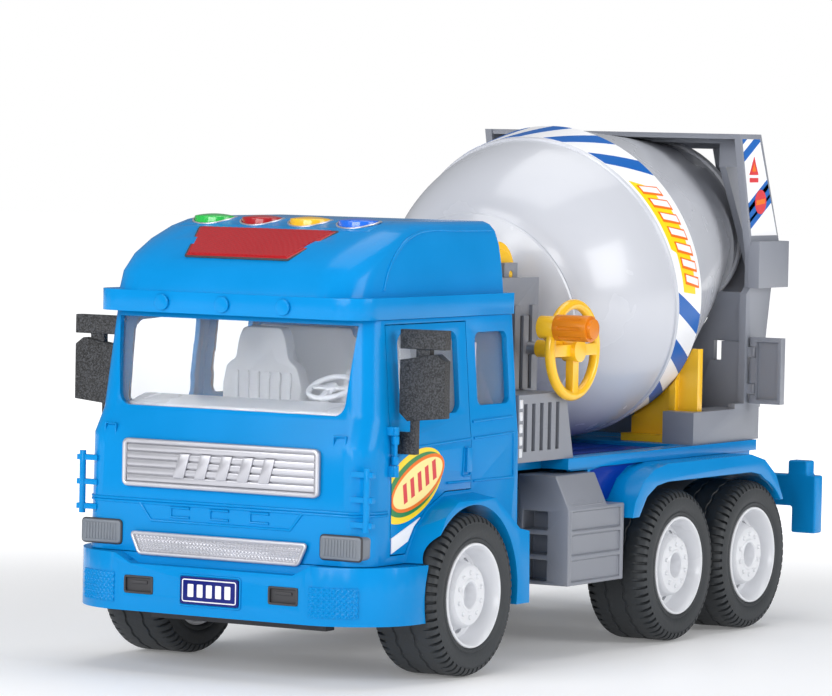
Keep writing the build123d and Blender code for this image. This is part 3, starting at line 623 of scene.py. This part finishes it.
def drum_decals():
    """A white ring round the band, with slanted blue flags and a yellow flash of bars in each group."""
    inset = 0.4
    strip = [(inset, BAND_R - 0.2), (inset, BAND_R + 0.05), (BAND_END - inset, BAND_R + 0.05),
             (BAND_END - inset, BAND_R - 0.2)]
    finish_piece(lathe("drum_strip", strip, even_turns(160), DRUM_PLACE), "drum", "white_sticker")
    flags = []
    for group in range(FLAG_GROUPS):
        for start in (90.0, 108.0, 126.5, 145.5):
            flags.append(band_patch("flag", start + group * 120, 8.0, 13.0, 0.6, BAND_END - 0.6))
    finish_piece(joined("drum_flags", flags), "drum", "blue_sticker")
    panels, bars, cores = [], [], []
    for group in range(FLAG_GROUPS):
        start = 44.0 + group * 120
        panels.append(band_patch("panel", start, 30.0, 6.0, 2.0, 11.0))
        panels.append(band_patch("panel", start + 14.0, 33.0, 3.0, 5.0, 14.5))
        for bar in range(7):
            turn = start + 3.0 + bar * 6.2
            bars.append(band_patch("bar", turn, 4.2, 4.0, 4.0 + bar * 0.5, 15.0 + bar * 0.4))
            cores.append(band_patch("core", turn + 0.8, 2.6, 3.6, 4.8 + bar * 0.5, 14.2 + bar * 0.4))
    centre = DRUM_PLACE.translation * MM
    for pieces, name, slot, lift in ((panels, "drum_flash", "yellow_sticker", 0.0),
                                     (bars, "drum_bars", "orange_sticker", 0.14),
                                     (cores, "drum_bar_cores", "white_sticker", 0.26)):
        patch = joined(name, pieces)
        for vertex in patch.data.vertices:
            out = vertex.co - centre
            out -= DRUM_AXIS * out.dot(DRUM_AXIS)
            vertex.co += out.normalized() * lift * MM
        finish_piece(patch, "drum", slot)


drum()
drum_decals()


# Surface details ----------------------------------------------------------------------------
CAB_SECTIONS = [(43.3, 61.5, -58.5), (86.0, 61.0, -58.0), (95.0, 60.0, -53.5), (131.0, 57.3, -50.0)]
CAB_CORNER = 10.0
FRONT = plane_at((0, -58.35, 0), (1, 0, 0), (0, 0, 1))
ELLIPSE_TILT = math.radians(20.8)
DOOR_FRONT = -40.4
DECAL_Z = 70
BUMPER_CORNER = (40.5, -34.5)
BUMPER_CORNER_R = 30.0
PATCH_HEIGHT = 10.9
PLATE_Y = -64.6
VENT = (31.3, -64.5, 31.75)
HEADLIGHT_X = (43.3, 60.4)
TOWER_X = 60.0
STEP_BOX_X = 67.0
COVER_X = 58.0
APRON_X = 60.5
LENS_CENTRE = (0, -40.5, 156.6)
BUTTON_X = (-31.5, -10.5, 10.5, 31.5)
BUTTON_Y = -18.0
COLLAR_R = 8.1
SEAT_X = 26.0


def cab_at(z):
    """The cab's half-width and the place of its front at a height."""
    for (z0, wide0, front0), (z1, wide1, front1) in zip(CAB_SECTIONS, CAB_SECTIONS[1:]):
        if z <= z1:
            t = (z - z0) / (z1 - z0)
            return wide0 + (wide1 - wide0) * t, front0 + (front1 - front0) * t
    return CAB_SECTIONS[-1][1:]


def front_line(z, reach, lift=0.1):
    """Points round the cab's front at one height, from side to side, ending behind the front by reach."""
    wide, front = cab_at(z)
    radius = CAB_CORNER + lift
    half = []
    if reach > CAB_CORNER:
        half.append((wide + lift, front + reach, z))
    for step in range(9):
        turn = math.radians(90 * step / 8)
        half.append((wide - CAB_CORNER + radius * math.cos(turn),
                     front + CAB_CORNER - radius * math.sin(turn), z))
    return half + [(-x, y, z) for x, y, z in reversed(half)]


def rect(x0, x1, y0, y1):
    return [(x0, y0), (x1, y0), (x1, y1), (x0, y1)]


def in_plane(place, points, height=0.0):
    """Points of a local plane as millimetres from the front axle along Y, for bead()."""
    found = []
    for x, y in points:
        point = place @ Vector((x, y, height))
        found.append((point.x, point.y - AXLE_Y, point.z))
    return found


def bead_set(name, lines, radius, closed=False):
    return joined(name, [bead("line", line, radius, closed) for line in lines])


def crossed(a, b, pitch):
    """A diamond relief from 0 to 1."""
    ridges = [1 - 4 * abs((t / pitch) % 1 - 0.5) for t in (a + b, a - b)]
    return max(0.0, max(ridges))


def hatched(name, mapping, width, height, pitch, depth, low, high):
    """A slab with a fine diamond relief on its outer side; mapping takes distances in millimetres."""
    across = max(2, round(width / pitch * 5))
    along = max(2, round(height / pitch * 5))

    def shaped(u, v, level):
        rise = depth * crossed(u * width, v * height, pitch) if level == high else 0.0
        return mapping(u, v, level + rise)

    return mapped_slab(name, shaped, across, along, low, high)


def quad(place, corners):
    """A mapping over four corners of a local plane: bottom left, bottom right, top right, top left."""
    a, b, c, d = (Vector(corner) for corner in corners)

    def mapping(u, v, level):
        flat = (a * (1 - u) + b * u) * (1 - v) + (d * (1 - u) + c * u) * v
        return place @ Vector((flat.x, flat.y, level)) * MM
    return mapping


def clipped(outline, point, normal):
    """The part of a flat outline on the side of a line that its normal points away from."""
    kept = []
    for a, b in zip(outline, outline[1:] + outline[:1]):
        da = (a[0] - point[0]) * normal[0] + (a[1] - point[1]) * normal[1]
        db = (b[0] - point[0]) * normal[0] + (b[1] - point[1]) * normal[1]
        if da <= 0:
            kept.append(a)
        if da * db < 0:
            t = da / (da - db)
            kept.append((a[0] + (b[0] - a[0]) * t, a[1] + (b[1] - a[1]) * t))
    return kept


def radiator():
    """A ribbed silver panel in a rounded frame, with five slanted bars across its middle."""
    frame_line = in_plane(FRONT, rounded(rect(-41.7, 41.7, 68.1, 83.9), 1.6), 1.2)
    surround = bead("surround", frame_line, 0.95, True)
    back = prism("back", rounded(rect(-42.3, 42.3, 67.5, 84.5), 1.8), FRONT, -0.2, 0.7, 0.2)
    ribs = [prism("rib", rect(-40.6, 40.6, z, z + 2.35), FRONT, 0.5, 1.55, 0.35)
            for z in (69.2, 71.98, 74.76, 77.54, 80.32)]
    panel = joined("radiator_panel", [surround, back, *ribs])
    finish_piece(panel, "truck", "silver_plastic", ("radiator_grille",))
    badge = []
    for bar in range(5):
        x = -20.0 + bar * 9.2
        outline = [(x, 71.2), (x + 4.6, 71.2), (x + 7.4, 80.2), (x + 2.8, 80.2)]
        badge.append(prism("bar", outline, FRONT, 1.4, 2.15, 0.3))
    finish_piece(joined("radiator_badge", badge), "truck", "silver_plastic")


def rounded(outline, radius, steps=5):
    """A flat outline with its corners rounded."""
    result = []
    count = len(outline)
    for index in range(count):
        before, corner, after = (Vector(outline[(index + step) % count]) for step in (-1, 0, 1))
        start = corner + (before - corner).normalized() * radius
        end = corner + (after - corner).normalized() * radius
        for step in range(steps + 1):
            t = step / steps
            point = start * (1 - t) ** 2 + corner * 2 * t * (1 - t) + end * t * t
            result.append((point.x, point.y))
    return result


def lower_grille():
    """A fine diamond net in a rounded frame that widens upwards."""
    outline = [(-34.4, 43.0), (34.4, 43.0), (37.7, 50.2), (-37.7, 50.2)]
    surround = bead("surround", in_plane(FRONT, rounded(outline, 1.2), 1.6), 0.75, True)
    mesh_corners = [(-34.2, 43.4), (34.2, 43.4), (37.0, 49.9), (-37.0, 49.9)]
    net = hatched("net", quad(FRONT, mesh_corners), 71, 6.5, 1.5, 0.45, 0.0, 1.3)
    mesh = joined("lower_grille_mesh", [surround, net])
    finish_piece(mesh, "truck", "silver_plastic", ("lower_grille",))


def headlights():
    """Fluted grey lenses in dark seals; the left one's piece stands for the CAD node of both."""
    for side, name in SIDE.items():
        x0, x1 = sorted(side * x for x in HEADLIGHT_X)
        outline = rounded(rect(x0, x1, 45.7, 54.1), 1.4)
        lens = prism("lens", outline, FRONT, -9.0, 1.2, 0.5)
        flutes = []
        for step in range(11):
            flute = rect(x0 + 1.4 + step * 1.3, x0 + 2.3 + step * 1.3, 46.8, 53.0)
            flutes.append(prism("flute", flute, FRONT, 1.0, 1.45, 0.15))
        finish_piece(joined("headlight_" + name, [lens, *flutes]), "truck", "lamp_sticker",
                     ("headlights",) if side > 0 else ())
        ring = bead("headlight_seal_" + name, in_plane(FRONT, outline, 0.35), 0.5, True)
        finish_piece(ring, "truck", "dark_plastic")


def front_relief():
    """Raised lines on the cab's front: a tray with three brackets, two seams and two small frames."""
    trapezoid = in_plane(FRONT, [(-35.4, 61.3), (-30.3, 55.0), (29.9, 55.0), (35.0, 61.3)], 0.05)
    brackets = []
    for x in (-17.4, -0.3, 17.0):
        bracket = [(x + 3.8, 60.2), (x - 4.2, 60.2), (x - 4.2, 56.8), (x + 3.8, 56.8)]
        brackets.append(in_plane(FRONT, bracket, 0.05))
    lines = [trapezoid, *brackets, front_line(62.4, 15.0, 0.05), front_line(61.3, 15.0, 0.0)]
    finish_piece(bead_set("front_embossing", lines, 0.55), "truck", "blue_plastic")
    frames = []
    for side in (1, -1):
        wide, front = cab_at(87)
        middle = side * 49.6
        frames.append([(middle + dx, front - 0.1 + (0.45 if dx * side > 0 else 0), z)
                       for dx, z in ((-2.4, 84.2), (2.4, 84.2), (2.4, 89.6), (-2.4, 89.6))])
    finish_piece(bead_set("front_pads", frames, 0.45, True), "truck", "blue_plastic")


def bumper_patches():
    """Hatched patches round the front bumper's corners."""
    nets = []
    for side in (1, -1):
        def mapping(u, v, level, side=side):
            turn = math.radians(3.0 + 35.0 * u)
            radius = BUMPER_CORNER_R + level
            x = BUMPER_CORNER[0] + radius * math.sin(turn)
            y = AXLE_Y + BUMPER_CORNER[1] - radius * math.cos(turn)
            return Vector((side * x, y, 24.9 + PATCH_HEIGHT * v)) * MM
        nets.append(hatched("net", mapping, 18.6, PATCH_HEIGHT, 2.1, 0.6, -0.3, 0.25))
    finish_piece(joined("bumper_hatching", nets), "truck", "blue_plastic")


def number_plate():
    """A dark plate with a white border and five plain bars."""
    place = plane_at((0, PLATE_Y, 0), (1, 0, 0), (0, 0, 1))
    outline = rounded(rect(-12.5, 12.5, 26.3, 36.2), 0.9)
    body = prism("number_plate_blank", outline, place, -0.2, 0.7, 0.15)
    finish_piece(body, "truck", "navy_sticker", ("number_plate",))
    outline = rounded(rect(-11.5, 11.5, 27.3, 35.2), 0.8)
    border = bead("border", in_plane(place, outline, 0.62), 0.24, True)
    bars = [prism("bar", rounded(rect(x, x + 2.5, 28.9, 33.6), 0.4), place, 0.5, 0.86, 0.08)
            for x in (-9.2, -5.2, -1.2, 2.8, 6.8)]
    finish_piece(joined("number_plate_marks", [border, *bars]), "truck", "white_sticker")
    rim = bead("plate_rim", in_plane(place, rounded(rect(-13.1, 13.1, 25.7, 36.8), 1.0), 0.1), 0.4, True)
    finish_piece(rim, "truck", "blue_plastic")


def fog_vents():
    """Small dark trays in the bumper; the left one's piece stands for the CAD node of both."""
    for side, name in SIDE.items():
        place = plane_at((side * VENT[0], *VENT[1:]), (1, 0, 0), (0, 0, 1))
        tray = prism("tray", rounded(rect(-6.2, 6.2, -3.1, 3.1), 0.8), place, -1.2, -0.6, 0.1)
        outline = rounded(rect(-6.0, 6.0, -2.9, 2.9), 0.8)
        frame_bead = bead("frame", in_plane(place, outline, 0.0), 0.45, True)
        slot = prism("slot", rounded(rect(-3.6, 3.6, 0.3, 1.5), 0.4), place, -0.7, -0.1, 0.2)
        finish_piece(joined("fog_vent_" + name, [tray, frame_bead, slot]), "truck", "dark_plastic",
                     ("fog_vents",) if side > 0 else ())


def side_point(side, y, z, lift=0.1):
    return side * (cab_at(z)[0] + lift), y, z


def side_relief():
    """Raised seams on the shell and the doors, and each door's recessed handle."""
    for side, name in SIDE.items():
        def lines(*pairs, side=side):
            return [[side_point(side, y, z) for y, z in pair] for pair in pairs]
        shell = lines(((17.5, 86.2), (46.8, 87.0)), ((17.5, 70.4), (46.8, 70.4)),
                      ((17.5, 92.2), (46.4, 93.0)), ((46.8, 70.4), (46.8, 87.0)))
        door = lines(((-32.6, 84.6), (15.2, 86.1)), ((-1.9, 70.6), (15.2, 70.5)))
        handle = rounded([(9.6, 72.6), (15.0, 72.6), (13.9, 83.0), (10.7, 83.0)], 1.0, 3)
        finish_piece(bead_set("quarter_embossing_" + name, shell, 0.5), "truck", "blue_plastic")
        ring = bead("ring", lines(handle)[0], 0.5, True)
        relief = joined("door_embossing_" + name, [bead_set("lines", door, 0.5), ring])
        finish_piece(relief, "door_" + name, "blue_plastic")


def side_slab(name, side, outline, low, high):
    """A thin flat decal on the cab's side from a (y, z) outline."""
    tilt = (cab_at(DECAL_Z + 10)[0] - cab_at(DECAL_Z - 10)[0]) / 20
    place = plane_at((side * cab_at(DECAL_Z)[0], 0, DECAL_Z), (0, side, 0), (tilt * side, 0, 1))
    return prism(name, [(y * side, z - DECAL_Z) for y, z in outline], place, low, high)


def tilted(centre, a, b):
    return (centre[0] + a * math.cos(ELLIPSE_TILT) - b * math.sin(ELLIPSE_TILT),
            centre[1] + a * math.sin(ELLIPSE_TILT) + b * math.cos(ELLIPSE_TILT))


def ellipse(centre, half_length, half_height, count=64):
    return [tilted(centre, half_length * math.cos(turn), half_height * math.sin(turn))
            for turn in even_turns(count)]


def door_decals():
    """Tilted ovals with five slanted bars on each door, and a white sweep below them."""
    centre = (-22.3, 71.8)
    layers = [("yellow_sticker", ellipse((-26.2, 71.0), 22.8, 11.4)),
              ("green_sticker", ellipse((-24.4, 71.4), 20.6, 9.4)),
              ("orange_sticker", ellipse(centre, 19.7, 7.9)),
              ("cream_sticker", ellipse(centre, 18.2, 6.6))]
    for bar in range(5):
        a = -11.6 + bar * 5.4
        corners = [(a, -3.4), (a + 2.6, -3.4), (a + 4.2, 3.4), (a + 1.6, 3.4)]
        layers.append(("red_sticker", [tilted(centre, x, y) for x, y in corners]))
    sweep = [(-40.5, 47.2), (-29.2, 51.0), (-25.0, 56.2), (-20.5, 59.2), (-40.5, 52.7)]
    layers.append(("white_sticker", sweep))
    for side, name in SIDE.items():
        groups = {}
        for level, (colour, outline) in enumerate(layers):
            outline = clipped(outline, (DOOR_FRONT, 0), (-1, 0))
            if level == 0:
                outline = clipped(outline, (-15.0, 62.9), (5.1, -12.5))
            patch = side_slab("patch", side, outline, -0.2, 0.09 + 0.05 * min(level, 4))
            groups.setdefault(colour, []).append(patch)
        for colour, patches in groups.items():
            kind = colour.split("_")[0]
            finish_piece(joined(f"door_flash_{kind}_{name}", patches), "door_" + name, colour)


def tower_decals():
    """A white panel on each tower side with blue slanted stripes and a few generic marks."""
    front = [(229.3, 197.5), (239.2, 158.3)]
    rear = [(244.6, 197.5), (262.0, 158.3)]
    outline = [front[1], rear[1], rear[0], front[0]]
    for side, name in SIDE.items():
        def sheet(kind, points, high, side=side):
            return side_prism(kind, side, TOWER_X, points, -0.2, high)

        finish_piece(sheet("tower_panel_" + name, outline, 0.08), "truck", "white_sticker")
        stripes = []
        for z in (192.5, 184.5, 168.0, 160.5, 153.0):
            stripe = [(225, z), (270, z + 27), (270, z + 31.5), (225, z + 4.5)]
            if z == 168.0:
                stripe = [(225, z - 12), (270, z + 15), (270, z + 22), (225, z - 5)]
            for a, b in zip(outline, outline[1:] + outline[:1]):
                normal = (b[1] - a[1], -(b[0] - a[0]))
                stripe = clipped(stripe, a, normal) if stripe else stripe
            if len(stripe) > 2:
                stripes.append(sheet("stripe", stripe, 0.14))
        finish_piece(joined("tower_stripes_" + name, stripes), "truck", "blue_sticker")
        marks = [sheet("mark", [(236.0, 183.0), (244.0, 183.0), (240.0, 190.5)], 0.2),
                 sheet("mark", [(236.4, 180.0), (244.0, 180.0), (244.0, 181.8), (236.4, 181.8)], 0.2),
                 sheet("mark", circle(5.0, 24, (246.5, 172.0)), 0.2)]
        finish_piece(joined("tower_marks_" + name, marks), "truck", "red_sticker")
        cores = [sheet("core", [(238.2, 184.4), (241.8, 184.4), (240.0, 187.8)], 0.26),
                 sheet("core", [(242.6, 170.6), (250.4, 171.4), (250.4, 173.4), (242.6, 172.6)], 0.26)]
        finish_piece(joined("tower_mark_cores_" + name, cores), "truck", "orange_sticker")


def step_box_details():
    """On each step box's sloping top: a frame, a hatched field and a ringed dial."""
    for side, name in SIDE.items():
        place = plane_at((side * STEP_BOX_X, 0, 61.75), (0, side, 0), (-0.496 * side, 0, 0.868))

        def spot(points, side=side):
            return [(y * side, z) for y, z in points]

        border = rounded(spot(rect(76.4, 102.6, -4.6, 4.6)), 1.4)
        frame_bead = bead("frame", in_plane(place, border), 0.3, True)
        corners = [(77.8, -3.6), (89.4, -3.6), (89.4, 3.6), (77.8, 3.6)]
        if side < 0:
            corners = [(89.4, -3.6), (77.8, -3.6), (77.8, 3.6), (89.4, 3.6)]
        net = hatched("net", quad(place, spot(corners)), 11.6, 7.2, 1.3, 0.35, -0.3, 0.05)
        rings = [bead("ring", in_plane(place, spot(circle(radius, 28, (96.4, 0)))), 0.33, True)
                 for radius in (4.3, 2.6)]
        hub = bead("hub", in_plane(place, spot([(94.4, -1.0), (98.4, 1.0)]), 0.1), 0.4)
        gauge = joined("step_box_gauge_" + name, [frame_bead, net, *rings, hub])
        finish_piece(gauge, "truck", "grey_plastic")


def lens_relief():
    """The red lens's fine diamond relief and the dark seal round it."""
    slope = math.atan2(10, 21)
    place = plane_at(LENS_CENTRE, (1, 0, 0), (0, math.cos(slope), math.sin(slope)))
    field = quad(place, [(-20.9, -10.6), (20.9, -10.6), (28.0, 10.6), (-28.0, 10.6)])
    net = hatched("red_lens_relief", field, 50, 21.2, 2.4, 0.22, 0.5, 1.1)
    finish_piece(net, "truck", "red_lens")
    outline = [(-22.2, -11.8), (22.2, -11.8), (30.2, 11.8), (-30.2, 11.8)]
    seal = bead("roof_lens_seal", in_plane(place, rounded(outline, 0.8), 0.2), 0.42, True)
    finish_piece(seal, "truck", "dark_plastic")


def engine_cover_details():
    """Dark sheets of painted shade behind the cover's slots and in the gaps between the housing's ribs,
    and a stack of pads at its front edge.
    """
    for side, name in SIDE.items():
        def panel(kind, y0, y1, z0, z1, low, high, bevel=0.0, side=side):
            return side_prism(kind, side, COVER_X, rect(y0, y1, z0, z1), low, high, bevel)

        # painted shade: dark sheets stand in for the shade inside the cover's slots and between the
        # housing's ribs
        painted_shade_sheets = [panel("slot_painted_shade", 55.4, 83.6, 78.2, 97.6, -0.9, -0.4)]
        painted_shade_sheets += [panel("rib_groove_painted_shade", 61.1 + rib * 6.6, 63.5 + rib * 6.6, 101.2, 129.0, -16.05, -15.6)
                    for rib in range(5)]
        finish_piece(joined("engine_cover_painted_shade_" + name, painted_shade_sheets), "truck", "dark_plastic")
        pads = [panel("pad", 52.5, 54.7, z, z + 3.4, 1.8, 2.5, 0.25)
                for z in (77.0, 81.6, 86.2, 90.8, 95.4)]
        finish_piece(joined("engine_pads_" + name, pads), "truck", "white_plastic")


def deck_details():
    """The deck's sunk floor of planks and the aprons below its front, in a darker blue that is painted
    shade under the drum and the deck rail.
    """
    floor = plane_at((0, 0, 73.2), (1, 0, 0), (0, 1, 0))
    planks = []
    for step in range(8):
        outline = rect(-53.8 + 13.5 * step, -40.6 + 13.5 * step, 100.2, 189.8)
        planks.append(prism("plank", outline, floor, 0.0, 0.35, 0.12))
    # painted shade: the planks' dark blue stands in for the drum's shadow on the deck floor
    finish_piece(joined("deck_floor_painted_shade", planks), "truck", "shade_blue_sticker")
    outline = [(105.6, 57.6), (121.2, 57.6), (128.0, 65.2), (137.0, 69.6), (148.0, 70.7), (126.0, 70.7),
               (115.6, 70.4), (107.5, 69.4), (105.6, 67.0)]
    for side, name in SIDE.items():
        # painted shade: each apron's dark blue stands in for the shade under the deck rail
        apron = side_prism("deck_apron_painted_shade_" + name, side, APRON_X, outline, -0.3, 0.3, 0.1)
        finish_piece(apron, "truck", "shade_blue_sticker")


def cab_furniture():
    """Fluted seats with narrower heads, a low steering wheel and the top of the dashboard."""
    half_back = [(17.2, 102), (15.5, 108.5), (11.5, 111.5), (10.5, 118), (8.5, 122)]
    back = [(-16.5, 72), (16.5, 72), *half_back, *[(-x, z) for x, z in reversed(half_back)]]
    seats = []
    for middle in (SEAT_X, -SEAT_X):
        place = plane_at((middle, 8.0, 0), (1, 0, 0), (0, 0, 1))
        seats.append(prism("back", rounded(back, 1.6, 3), place, -5.0, 1.0, 0.9))
        for x in (-11.5, -6.9, -2.3, 2.3, 6.9, 11.5):
            flute = rounded(rect(x - 1.7, x + 1.7, 78, 107), 0.8, 3)
            seats.append(prism("flute", flute, place, 0.6, 1.9, 0.5))
        cushion = plane_at((middle, -2.0, 68.4), (1, 0, 0), (0, 1, 0))
        outline = rounded(rect(-17.0, 17.0, -11.0, 13.0), 2.0, 3)
        seats.append(prism("cushion", outline, cushion, 0.0, 13.5, 1.2))
    finish_piece(joined("fluted_seats", seats), "truck", "white_plastic", ("seats",))
    wheel = plane_at((SEAT_X, -27.0, 105.0), (1, 0, 0), (0, 0.90, 0.43))
    parts = [bead("ring", in_plane(wheel, circle(8.2, 48)), 1.0, True),
             prism("hub", circle(2.6, 24), wheel, -1.2, 1.0, 0.5),
             prism("spoke", rect(-7.6, 7.6, -0.9, 0.9), wheel, -0.6, 0.5, 0.3),
             prism("spoke", rect(-0.9, 0.9, -7.6, 0.0), wheel, -0.6, 0.5, 0.3),
             bead("column", in_plane(wheel, [(0, 0)], -0.5) + [(SEAT_X, -35.0, 97.0)], 1.4)]
    wheel_piece = joined("low_steering_wheel", parts)
    finish_piece(wheel_piece, "truck", "white_plastic", ("steering_wheel",))
    across = plane_at((0, 0, 0), (0, 1, 0), (0, 0, 1))
    outline = rounded([(-46.5, 94.0), (-34.5, 93.0), (-34.5, 100.5), (-46.5, 97.2)], 1.0, 3)
    finish_piece(prism("dashboard_top", outline, across, -49.5, 49.5, 0.6), "truck", "white_plastic")


def roof_height(y):
    """The height of the roof's front slope at a place along the truck."""
    slope = [(-29.8, 161.9), (-22.0, 164.4), (-16.5, 165.5), (50.0, 165.5)]
    for (y0, z0), (y1, z1) in zip(slope, slope[1:]):
        if y <= y1:
            return z0 + (z1 - z0) * (y - y0) / (y1 - y0)
    return slope[-1][1]


def roof_crease():
    """The raised line that sweeps up each side of the roof and back along its top edge."""
    curve = [(53.2, -35.6, 141.3), (52.85, -31.6, 149.0), (52.1, -23.6, 155.9), (50.9, -13.5, 160.4),
             (49.8, 0.1, 162.5), (49.9, 20.1, 162.4), (50.1, 45.5, 162.2)]
    for side, name in SIDE.items():
        points = [(side * (x + 0.05), y, z) for x, y, z in smooth_points(curve)]
        finish_piece(bead("roof_crease_" + name, points, 0.55), "truck", "blue_plastic")


def button_collars():
    """Silver rings round the roof buttons, following the roof's slope."""
    collars = []
    for middle in BUTTON_X:
        ring = [(x, y, roof_height(y)) for x, y in circle(COLLAR_R, 40, (middle, BUTTON_Y))]
        collars.append(bead("collar", ring, 0.4, True))
    finish_piece(joined("button_collars", collars), "truck", "silver_plastic")


radiator()
lower_grille()
headlights()
front_relief()
bumper_patches()
number_plate()
fog_vents()
side_relief()
door_decals()
tower_decals()
step_box_details()
lens_relief()
button_collars()
engine_cover_details()
deck_details()
cab_furniture()
roof_crease()


# Every other CAD piece, with its edges rounded ----------------------------------------------
SLOTS = {s["node"]: s["material_slot"] for s in frame["record"]["subparts"]}
REPLACED = {node for piece in bpy.data.objects for node in piece.get("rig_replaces", [])}
EDGE_RADIUS = {"cab_roof": 1.4, "cab_shell": 0.7, "front_bumper": 1.0, "mirror_left": 1.8,
               "mirror_right": 1.8, "engine_cover": 0.0, "drive_housing": 0.25, "mudguards": 0.8,
               "deck": 0.6, "crank_wheel": 0.4, "rear_bumper": 0.9, "step_boxes": 0.6,
               "cab_windows": 0.2, "door_window_left": 0.2, "door_window_right": 0.2,
               "circuit_board": 0.2, "batteries": 0.6}
USUAL_RADIUS = 0.45
for node, slot_name in SLOTS.items():
    if node not in REPLACED:
        moulded(node, slot_name, EDGE_RADIUS.get(node, USUAL_RADIUS))

make_stage()
